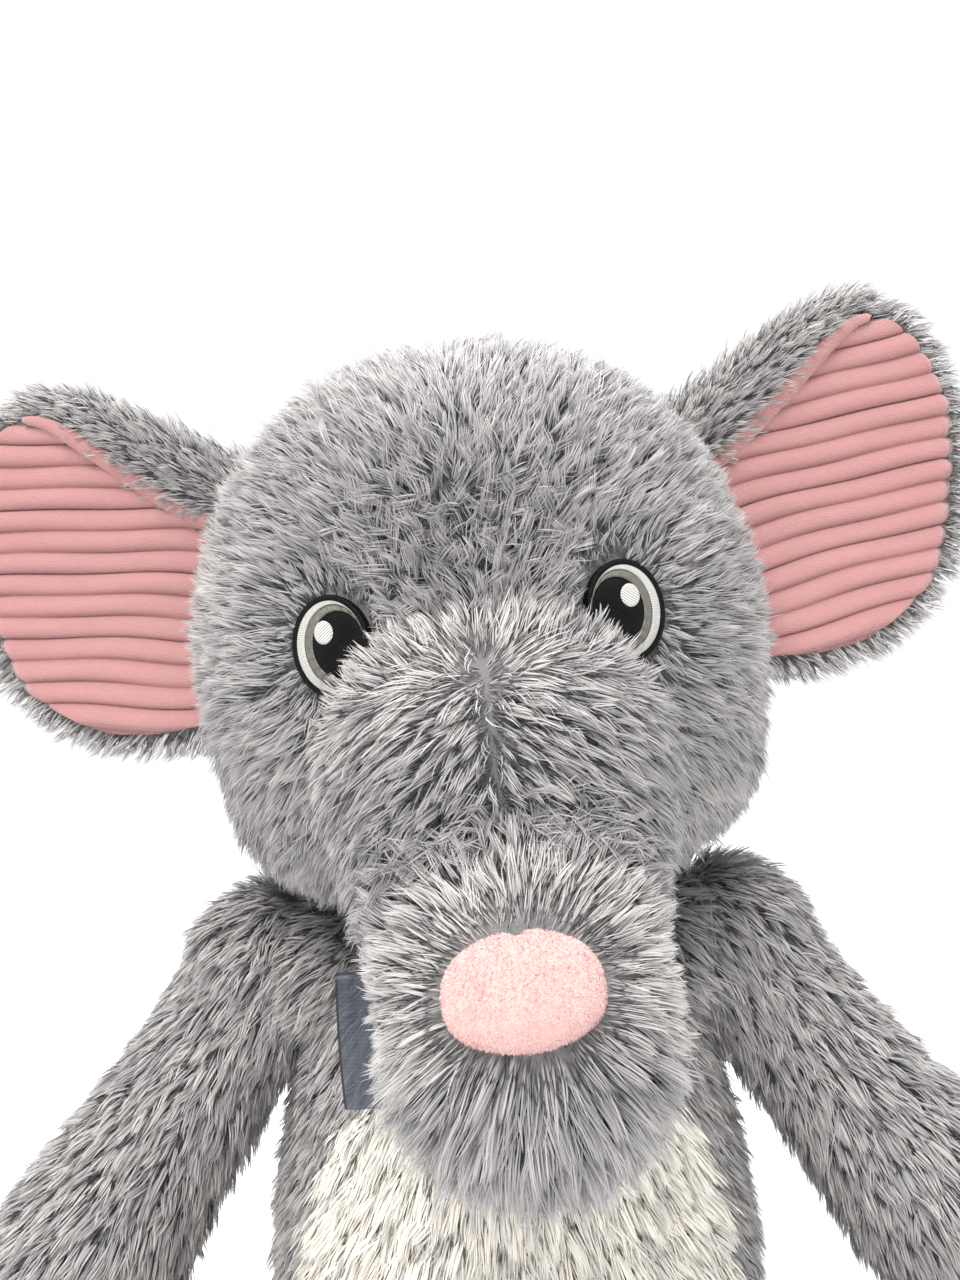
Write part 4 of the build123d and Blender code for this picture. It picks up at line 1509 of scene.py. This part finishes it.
# ------------------------------------------------------------------ torso
@dataclass(frozen=True)
class Torso:
    """The pear-shaped body with its cream belly, seat and care label."""
    bench: Bench
    profile: tuple = ((0, 0), (60, 0), (78, 0.2), (92, 10), (101, 26), (110, 46), (116, 68),
                      (120, 112), (116, 156), (109, 192), (103, 222), (96, 248), (87, 268),
                      (74, 283), (60, 292), (46, 296), (20, 297), (0, 297))
    belly_middle: float = 138.0
    belly_half: tuple[float, float] = (94.0, 118.0)
    shoulder: tuple[float, float, float] = (121, -7, 266)
    hip: tuple[float, float, float] = (84, -67, 58)
    label_up: float = 58.0
    label_out: float = 112.5        # where the label leaves the seam, from the middle
    label_long: float = 26.0
    label_turn: float = 25.0        # degrees behind the toy's left side
    shoulder_middle: tuple[float, float, float] = (84, -10, 262)
    shoulder_radii: tuple[float, float, float] = (44, 40, 36)

    def skin(self) -> Skin:
        """The body's cloth."""
        line = smooth_line(self.profile, 130)
        line[:, 1] = np.maximum(line[:, 1], 0.2)
        line[:, 0] = np.maximum(line[:, 0], 0)
        line[0, 0] = line[-1, 0] = 0
        line[:, 0] -= 0.8 * (line[:, 0] > 2)
        return turned_skin(line, Place(np.eye(3), np.zeros(3)), 168)

    def belly(self, points: Array) -> Array:
        """1 on the cream belly, 0 off it."""
        wobble = 3.0 * np.sin(points[:, 2] / 9.0) + 2.0 * np.sin(points[:, 2] / 4.0 + 1)
        far = np.hypot((np.abs(points[:, 0]) + wobble * 0.5) / self.belly_half[0],
                       (points[:, 2] - self.belly_middle) / self.belly_half[1])
        return np.where((far < 1) & (points[:, 1] < 0), 1.0, 0.0)

    @staticmethod
    def lie(points: Array, normals: Array) -> Array:
        """Down the body, a little outwards in front."""
        return np.stack([points[:, 0] / 170, 0 * points[:, 0], -1 + 0 * points[:, 0]], axis=1)

    def grey_keep(self, points: Array) -> Array:
        """Everywhere but the belly, the seat and the joints, sparser behind."""
        free = (1 - self.belly(points)) * ease(points[:, 2], 1.0, 3.0) * ease(-points[:, 2], -294, -288)
        for centre, radius in ((self.shoulder, 33), (self.hip, 50)):
            gap = np.stack([np.abs(points[:, 0]), points[:, 1], points[:, 2]], axis=1) - np.array(centre)
            free = free * ease(np.linalg.norm(gap, axis=1), radius - 3, radius)
        front = ease(-points[:, 1], -20, 30) * ease(points[:, 2], 120, 200)
        return free * (0.55 + 0.45 * front)

    def cream_keep(self, points: Array) -> Array:
        """Only the belly, denser above."""
        gap = np.stack([np.abs(points[:, 0]), points[:, 1], points[:, 2]], axis=1) - np.array(self.hip)
        leg = ease(np.linalg.norm(gap, axis=1), 47, 50)
        return self.belly(points) * leg * (0.6 + 0.4 * ease(points[:, 2], 120, 200))

    @staticmethod
    def reach(points: Array) -> Array:
        """Shorter at the collar and just above the floor."""
        return ((1 - 0.45 * ease(points[:, 2], 272, 292))
                * (0.5 + 0.5 * ease(points[:, 2], 2, 26)))

    def shoulders(self) -> None:
        """The full shoulders between the neck and the arms."""
        tilt = np.linspace(0, math.pi, 48)
        profile = np.stack([np.sin(tilt), np.cos(tilt)], axis=1)
        turned = np.diag(np.array(self.shoulder_radii, float))
        for side in Side:
            middle = np.array(self.shoulder_middle) * np.array([side.value, 1.0, 1.0])
            skin = turned_skin(profile, Place(turned, middle), 72)
            cloth = self.bench.put(self.bench.skin(f"shoulder_{side.word}", skin, "grey_backing"),
                                   "torso", "grey_plush")
            pile = Pile(length=19, width=0.74, density=0.62, lock=4.8, gather=0.5, root_angle=34,
                        tip_angle=74, stray=15)
            coat = Coat(pile, self.yoke_lie, 57 + side.value, lambda p: ease(p[:, 2], 246, 262),
                        tone=paler)
            for part in coat.pieces(self.bench, f"shoulder_plush_{side.word}", skin, "grey_hair"):
                self.bench.put(part, "torso", "grey_plush")

    @staticmethod
    def yoke_lie(points: Array, normals: Array) -> Array:
        """Outwards and down over the shoulders."""
        return np.stack([np.sign(points[:, 0]), -0.35 + 0 * points[:, 0], -0.8 + 0 * points[:, 0]], 1)

    def label(self) -> None:
        """The folded blank label in the side seam."""
        angle = math.radians(self.label_turn)
        out = np.array([math.cos(angle), math.sin(angle), 0])
        side = np.array([-math.sin(angle), math.cos(angle), 0])
        rows = np.linspace(0, self.label_long, 18)
        turn = np.linspace(0, 2 * math.pi, 28, endpoint=False)
        points = []
        for row in rows:
            lean = 1.6 * math.sin(row / 9)
            thick = 0.55 + 0.25 * math.sin(row / self.label_long * math.pi)
            ring = [out * (self.label_out + row)
                    + side * (thick * np.sign(math.sin(t)) * abs(math.sin(t)) ** 0.3 + lean)
                    + UP * (self.label_up + 10 * np.sign(math.cos(t)) * abs(math.cos(t)) ** 0.3)
                    for t in turn]
            points.append(ring)
        skin = Skin(np.array(points))
        first = np.broadcast_to(skin.points[:1].mean(axis=1, keepdims=True), skin.points[:1].shape)
        last = np.broadcast_to(skin.points[-1:].mean(axis=1, keepdims=True), skin.points[-1:].shape)
        closed = Skin(np.concatenate([first, skin.points, last]))
        self.bench.put(self.bench.skin("label_cloth", closed, "label"), "torso", "label_satin",
                       "care_label")

    def build(self) -> None:
        """Makes the body's cloth, plush and label."""
        skin = self.skin()
        covers = ["belly_panel", "torso_panel_left", "torso_panel_right", "seat_panel", "torso_filling"]
        piece = self.bench.skin("torso_cloth", skin, "grey_backing")
        piece.data.materials.append(self.bench.finishes["cream_backing"])
        middles = np.array([p.center for p in piece.data.polygons]) / MM
        piece.data.polygons.foreach_set("material_index", self.belly(middles).astype(np.int32))
        cloth = self.bench.put(piece, "torso", "grey_plush", *covers)
        grey = Pile(length=19, width=0.9, density=0.5, lock=4.8, gather=0.48, root_angle=38,
                    tip_angle=76, stray=14)
        coat = Coat(grey, self.lie, 51, self.grey_keep, self.reach, paler)
        for part in coat.pieces(self.bench, "torso_plush", skin, "grey_hair"):
            self.bench.put(part, "torso", "grey_plush")
        cream = Pile(length=21, width=0.85, density=0.8, lock=4.8, gather=0.45, root_angle=44,
                     tip_angle=78, stray=12)
        coat = Coat(cream, self.lie, 52, self.cream_keep, self.reach, paler)
        for part in coat.pieces(self.bench, "belly_plush", skin, "cream_hair"):
            self.bench.put(part, "torso", "cream_plush")
        self.shoulders()
        self.label()


@dataclass(frozen=True)
class Neck:
    """The short plush neck between the body and the head."""
    bench: Bench
    centre: tuple[float, float, float] = (0, -10, 306)
    radius: float = 43.5
    half_height: float = 30.0

    def build(self) -> None:
        """Makes the neck's cloth and plush."""
        reach = math.asin(self.half_height / self.radius)
        tilt = np.linspace(-reach, reach, 24)
        wall = np.stack([self.radius * np.cos(tilt), self.radius * np.sin(tilt)], axis=1)
        line = np.vstack([[0, wall[0, 1]], wall, [0, wall[-1, 1]]])
        skin = turned_skin(line, Place(np.eye(3), np.array(self.centre, float)), 72)
        cloth = self.bench.put(self.bench.skin("neck_cloth", skin, "grey_backing"), "neck",
                               "grey_plush", "neck_cover")
        pile = Pile(length=9, width=0.8, density=0.3, lock=4.5)
        coat = Coat(pile, Torso.lie, 61, lambda p: ease(28 - np.abs(p[:, 2] - self.centre[2]), 0, 2))
        for piece in coat.pieces(self.bench, "neck_plush", skin, "grey_hair"):
            self.bench.put(piece, "neck", "grey_plush")


# ------------------------------------------------------------------ limbs
@dataclass(frozen=True)
class Limb:
    """An arm or a leg: a ball at its joint that runs into a soft tube."""
    bench: Bench
    side: Side
    kind: str
    start: tuple[float, float, float]
    aim: tuple[float, float, float]
    profile: tuple
    pile: Pile
    sole: float = 0.0
    bare: float = 18.0

    def place(self) -> Place:
        """Where the limb's own +Z goes."""
        flip = np.array([self.side.value, 1.0, 1.0])
        return aimed_place(np.array(self.start) * flip, np.array(self.aim) * flip)

    def lie(self, points: Array, normals: Array) -> Array:
        """Down the limb and outwards."""
        place = self.place()
        aim = place.turn[:, 2]
        out = np.array([self.side.value * 0.25, 0.0, -0.35])
        return np.broadcast_to(aim + out, points.shape)

    def keep(self, points: Array) -> Array:
        """Not inside the body nor on the sole; denser in front."""
        own = self.place().own(points)
        inside = (points[:, 0] * self.side.value < 74) & (own[:, 2] < self.bare)
        free = np.where(inside, 0.0, 1.0)
        if self.sole:
            disc = np.hypot(own[:, 0], own[:, 1]) < self.sole
            free = free * np.where(disc & (own[:, 2] > 100), 0.0, 1.0)
        return free * (0.62 + 0.38 * ease(-points[:, 1], -10, 25))

    def reach(self, points: Array) -> Array:
        """Shorter near the floor and at the sole's seam."""
        own = self.place().own(points)
        near_sole = 1 - 0.45 * ease(own[:, 2], 150, 172) * (self.sole > 0)
        return near_sole * (0.45 + 0.55 * ease(points[:, 2], 3, 30))

    def build(self) -> None:
        """Makes the limb's cloth, plush and sole."""
        name = body = f"{self.kind}_{self.side.word}"
        place = self.place()
        line = smooth_line(self.profile, 90)
        line[:, 0] = np.maximum(line[:, 0], 0)
        line[0, 0] = line[-1, 0] = 0
        skin = turned_skin(line, place, 80)
        skin.points[:, :, 2] = np.maximum(skin.points[:, :, 2], 0.4)
        nodes = [f"{self.kind}_cover_{self.side.word}", f"{self.kind}_filling_{self.side.word}"]
        cloth = self.bench.put(self.bench.skin(f"{name}_cloth", skin, "grey_backing"), body,
                               "grey_plush", *nodes)
        coat = Coat(self.pile, self.lie, 70 + len(name), self.keep, self.reach, paler)
        for piece in coat.pieces(self.bench, f"{name}_plush", skin, "grey_hair"):
            self.bench.put(piece, body, "grey_plush")
        if self.sole:
            self._sole(place, line[-1, 1], body)

    def _sole(self, place: Place, end: float, body: str) -> None:
        """The puffed pink sole with its gathered seam."""
        share = np.concatenate([np.linspace(0, 1, 34), [1.0]])[:, None]
        turn = np.linspace(0, 2 * math.pi, 144, endpoint=False)[None]
        pinch = 0.7 * np.abs(np.sin(turn * 18)) * ease(share, 0.8, 0.98)
        height = end - 11.5 + 13.5 * np.sqrt(np.maximum(1 - share**2.4, 0)) - pinch * (share < 1)
        height[-1] -= 6
        radius = self.sole * (share + 0 * turn)
        own = np.stack([radius * np.cos(turn), radius * np.sin(turn), height + 0 * turn], axis=-1)
        skin = Skin(place.points(own.reshape(-1, 3)).reshape(own.shape), out=place.turn[:, 2])
        piece = self.bench.put(self.bench.skin(f"sole_cloth_{self.side.word}", skin, "pink_short"),
                               body, "pink_short_plush", f"sole_{self.side.word}")
        pile = Pile(length=2.0, width=0.5, density=0.8, lock=1.4, gather=0.2, root_angle=12,
                    tip_angle=45, stray=40)
        coat = Coat(pile, lambda p, n: np.broadcast_to(-UP, p.shape), 90 + self.side.value)
        for fuzz in coat.pieces(self.bench, f"sole_pile_{self.side.word}", skin, "pink_hair"):
            self.bench.put(fuzz, body, "pink_short_plush")


@dataclass(frozen=True)
class Tail:
    """The thin tail and its tuft."""
    bench: Bench
    start: tuple[float, float, float] = (0, 113, 66)
    aim: tuple[float, float, float] = (0, 0.75, -0.66)
    profile: tuple = ((0, -10.6), (7, -8), (10.6, 0), (9.4, 8), (7.8, 20), (6.9, 40), (5.5, 56), (0, 61))
    tuft: float = 56.0

    def build(self) -> None:
        """Makes the tail."""
        place = aimed_place(self.start, self.aim)
        line = smooth_line(self.profile, 50)
        line[:, 0] = np.maximum(line[:, 0], 0)
        line[0, 0] = line[-1, 0] = 0
        skin = turned_skin(line, place, 40)
        cloth = self.bench.put(self.bench.skin("tail_cloth", skin, "grey_backing"), "tail",
                               "grey_plush", "tail_cover")
        aim = place.turn[:, 2]
        short = Pile(length=7, width=0.6, density=0.7, lock=3.2)
        coat = Coat(short, lambda p, n: np.broadcast_to(aim, p.shape), 81)
        for piece in coat.pieces(self.bench, "tail_plush", skin, "grey_hair"):
            self.bench.put(piece, "tail", "grey_plush")
        knob_line = smooth_line([(0, -7), (6, -4), (8, 1), (5.5, 6), (0, 8)], 24)
        knob_line[:, 0] = np.maximum(knob_line[:, 0], 0)
        end = place.points(np.array([[0, 0, self.tuft]]))[0]
        knob = turned_skin(knob_line, aimed_place(end, self.aim), 32)
        core = self.bench.put(self.bench.skin("tail_knob", knob, "grey_backing"), "tail",
                              "grey_plush", "tail_tuft")
        long = Pile(length=21, width=0.7, density=1.6, lock=3.4, gather=0.7, root_angle=40,
                    tip_angle=80, stray=14)
        coat = Coat(long, lambda p, n: np.broadcast_to(aim, p.shape), 82)
        for piece in coat.pieces(self.bench, "tail_tuft_plush", knob, "grey_hair"):
            self.bench.put(piece, "tail", "grey_plush")


# ------------------------------------------------------------------ ribbon
@dataclass(frozen=True)
class Bow:
    """The sheer ribbon round the neck and its bow."""
    bench: Bench
    width: float = 38.0
    hang: dict = field(default_factory=lambda: {Side.LEFT: 40.0, Side.RIGHT: 51.5})

    def _strip(self, name: str, line: Array, broad: Array, width: float, node: str) -> None:
        """One length of ribbon along a line.

        Args:
            name: The piece's name.
            line: Its middle line, in millimetres.
            broad: The direction across it at each point.
            width: Its width.
            node: The solid that it stands for.
        """
        share = np.linspace(-0.5, 0.5, 26)
        points = line[:, None] + broad[:, None] * (share * width)[None, :, None]
        out = np.array([0, -1.0, 0])
        skin = Skin(points, wrap=False, out=out)
        ripple = 0.35 * np.sin(share * 21)[None, :, None] * skin.normals
        points = points + ripple
        run = np.concatenate([[0], np.cumsum(np.linalg.norm(np.diff(line, axis=0), axis=1))])
        mesh = bpy.data.meshes.new(name)
        faces = Skin(points, wrap=False, out=out).faces()
        mesh.from_pydata((points.reshape(-1, 3) * MM).tolist(), [], faces.tolist())
        layer = mesh.uv_layers.new(name="OFBake")
        u = np.broadcast_to((share + 0.5)[None], points.shape[:2]).ravel() * 0.98 + 0.01
        v = np.broadcast_to((run / run[-1])[:, None], points.shape[:2]).ravel() * 0.98 + 0.01
        corners = np.empty(len(mesh.loops), np.int32)
        mesh.loops.foreach_get("vertex_index", corners)
        layer.uv.foreach_set("vector", np.stack([u[corners], v[corners]], 1).astype(np.float32).ravel())
        mesh.shade_smooth()
        mesh.materials.append(self.bench.finishes["organza"])
        piece = link_piece(name, mesh)
        self.bench.put(piece, "torso", "slate_ribbon", node)

    def build(self) -> None:
        """Makes the band, the knot, the loops and the tails."""
        turn = np.linspace(-math.pi / 2, 1.5 * math.pi, 160)
        radius = 75.5 + 1.2 * np.sin(turn * 7)
        line = np.stack([radius * np.cos(turn), radius * np.sin(turn), 286 + 1.5 * np.sin(turn * 2)], 1)
        slope = unit(np.array([12.5, 0, -11.5]))
        broad = np.stack([np.cos(turn) * slope[0], np.sin(turn) * slope[0], slope[2] + 0 * turn], 1)
        self._strip("ribbon_neck_band", line, broad, 17.0, "ribbon_band")
        knot = np.linspace(-2.4, 2.4, 40)
        around = np.stack([0 * knot, -94 - 8.5 * np.cos(knot), 277 + 9.5 * np.sin(knot)], axis=1)
        self._strip("ribbon_centre_knot", around, np.tile([1.0, 0, 0], (40, 1)), 20.0, "ribbon_knot")
        for side in Side:
            s = side.value
            corners = [(6, -98, 278), (20, -104, 276), (36, -107, 274), (50, -107.5, 272), (55, -105, 272),
                       (50, -102.5, 272), (36, -101, 274), (20, -98, 277), (6, -95, 278)]
            loop = smooth_line([(s * x, y, z) for x, y, z in corners], 90)
            away = np.abs(loop[:, 0])
            puff = np.stack([0 * away, 0 * away, 0.45 + 0.55 * ease(away, 8, 40)], axis=1)
            self._strip(f"ribbon_bow_loop_{side.word}", loop, puff, self.width,
                        f"ribbon_loop_{side.word}")
            middle = self.hang[side]
            ends = [(s * 12, -101, 276), (s * middle * 0.6, -101.5, 284), (s * middle, -104, 290),
                    (s * middle, -108.5, 292.5), (s * middle, -112, 286), (s * middle, -113.5, 268),
                    (s * (middle - 0.5), -114, 250), (s * (middle - 1), -113, 236)]
            tail = smooth_line(ends, 90)
            runs = np.linspace(0, 1, 90)
            fall = ease(runs, 0.1, 0.42)
            level = unit(np.stack([s * (0.2 + 0.8 * fall), 0 * runs, 0.9 * (1 - fall) + 0.03], axis=1))
            gather = (0.5 + 0.5 * ease(runs, 0.15, 0.5))[:, None]
            self._strip(f"ribbon_bow_tail_{side.word}", tail, level * gather, self.width,
                        f"ribbon_tail_{side.word}")


# ------------------------------------------------------------------ room and light
@dataclass(frozen=True)
class Studio:
    """Pale floor, soft lights and the camera."""
    camera_place: tuple[float, float, float] = (0.0, -0.520, 0.432)
    roll: float = -3.5
    lens: float = 27.0

    def camera(self) -> None:
        """Sets up the camera, level and close in front of the face."""
        data = bpy.data.cameras.new("main")
        data.lens = self.lens
        data.sensor_width = 36.0
        data.clip_start = 0.02
        camera = bpy.data.objects.new("main", data)
        turn = Matrix.Rotation(math.radians(90), 4, "X") @ Matrix.Rotation(math.radians(self.roll), 4, "Z")
        camera.matrix_world = Matrix.Translation(Vector(self.camera_place)) @ turn
        bpy.context.scene.collection.objects.link(camera)
        bpy.context.scene.camera = camera

    @staticmethod
    def light(name: str, place: tuple, size: float, power: float, colour: tuple) -> None:
        """Adds one soft light that looks at the toy's chest.

        Args:
            name: Its name.
            place: Where it stands, in metres.
            size: Its width, in metres.
            power: Its power, in watts.
            colour: Its colour.
        """
        data = bpy.data.lights.new(name, "AREA")
        data.size = size
        data.energy = power
        data.color = colour
        lamp = bpy.data.objects.new(name, data)
        aim = Vector((0, 0, 0.35)) - Vector(place)
        turn = aim.to_track_quat("-Z", "Y").to_matrix().to_4x4()
        lamp.matrix_world = Matrix.Translation(Vector(place)) @ turn
        bpy.context.scene.collection.objects.link(lamp)

    def floor(self) -> None:
        """A wide pale floor of smooth paper."""
        recipe = Recipe("floor_paper")
        grain = recipe.noise(40, 2)
        colour = recipe.blend(grain * 0.3, (0.995, 0.995, 0.995, 1), (0.98, 0.98, 0.98, 1))
        paper = recipe.finish(colour, 0.9)
        mesh = bpy.data.meshes.new("floor")
        half = 6.0
        mesh.from_pydata([(-half, -half, 0), (half, -half, 0), (half, half, 0), (-half, half, 0)], [],
                         [(0, 1, 2, 3)])
        mesh.materials.append(paper)
        link_piece("floor", mesh)

    def build(self) -> None:
        """Sets up the whole room."""
        scene = bpy.context.scene
        world = bpy.data.worlds.new("studio")
        scene.world = world
        world.use_nodes = True
        back = world.node_tree.nodes["Background"]
        back.inputs["Color"].default_value = (1.0, 1.0, 1.0, 1.0)
        back.inputs["Strength"].default_value = 1.0
        scene.view_settings.view_transform = "Standard"
        self.floor()
        self.light("key", (-0.35, -0.95, 1.95), 0.8, 34.0, (1.0, 0.985, 0.965))
        self.light("top", (0.3, 0.25, 2.1), 1.3, 22.0, (0.98, 0.99, 1.0))
        self.camera()


def dress_hidden(bench: Bench) -> None:
    """Gives the solids that stay inside the toy their finishes."""
    for node, finish in (("pellet_bag", "beads"), ("neck_filling", "fibre")):
        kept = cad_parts[node]
        kept.data.materials.clear()
        kept.data.materials.append(bench.finishes[finish])


def main() -> None:
    """Builds the room and then the toy, piece by piece."""
    logging.basicConfig(level=logging.INFO, format="%(message)s")
    Studio().build()
    bench = Bench()
    dress_hidden(bench)
    arm = ((0, -38), (27, -27), (38, 0), (33.5, 18), (31, 50), (33, 100), (38, 140), (35.5, 160),
           (24, 175), (0, 182))
    leg = ((0, -54), (38, -38), (54, 0), (49.3, 22), (49, 60), (51, 110), (55, 150), (50, 167),
           (40, 174), (0, 176))
    arm_pile = Pile(length=19, width=0.86, density=0.62, lock=4.8, gather=0.48, root_angle=40,
                    tip_angle=76, stray=14)
    leg_pile = Pile(length=18, width=1.0, density=0.34, lock=5.0, gather=0.48, root_angle=38,
                    tip_angle=76, stray=14)
    Head(bench).build()
    Eyes(bench).build()
    Trunk(bench).build()
    Torso(bench).build()
    Neck(bench).build()
    for side in Side:
        Ear(bench, side).build()
        Limb(bench, side, "arm", (121, -7, 266), (0.55, -0.36, -0.753), arm, arm_pile).build()
        Limb(bench, side, "leg", (84, -67, 58), (0.30, -0.954, 0.0), leg, leg_pile, sole=42.0).build()
    Tail(bench).build()
    Bow(bench).build()


if __name__ == "__main__":
    main()
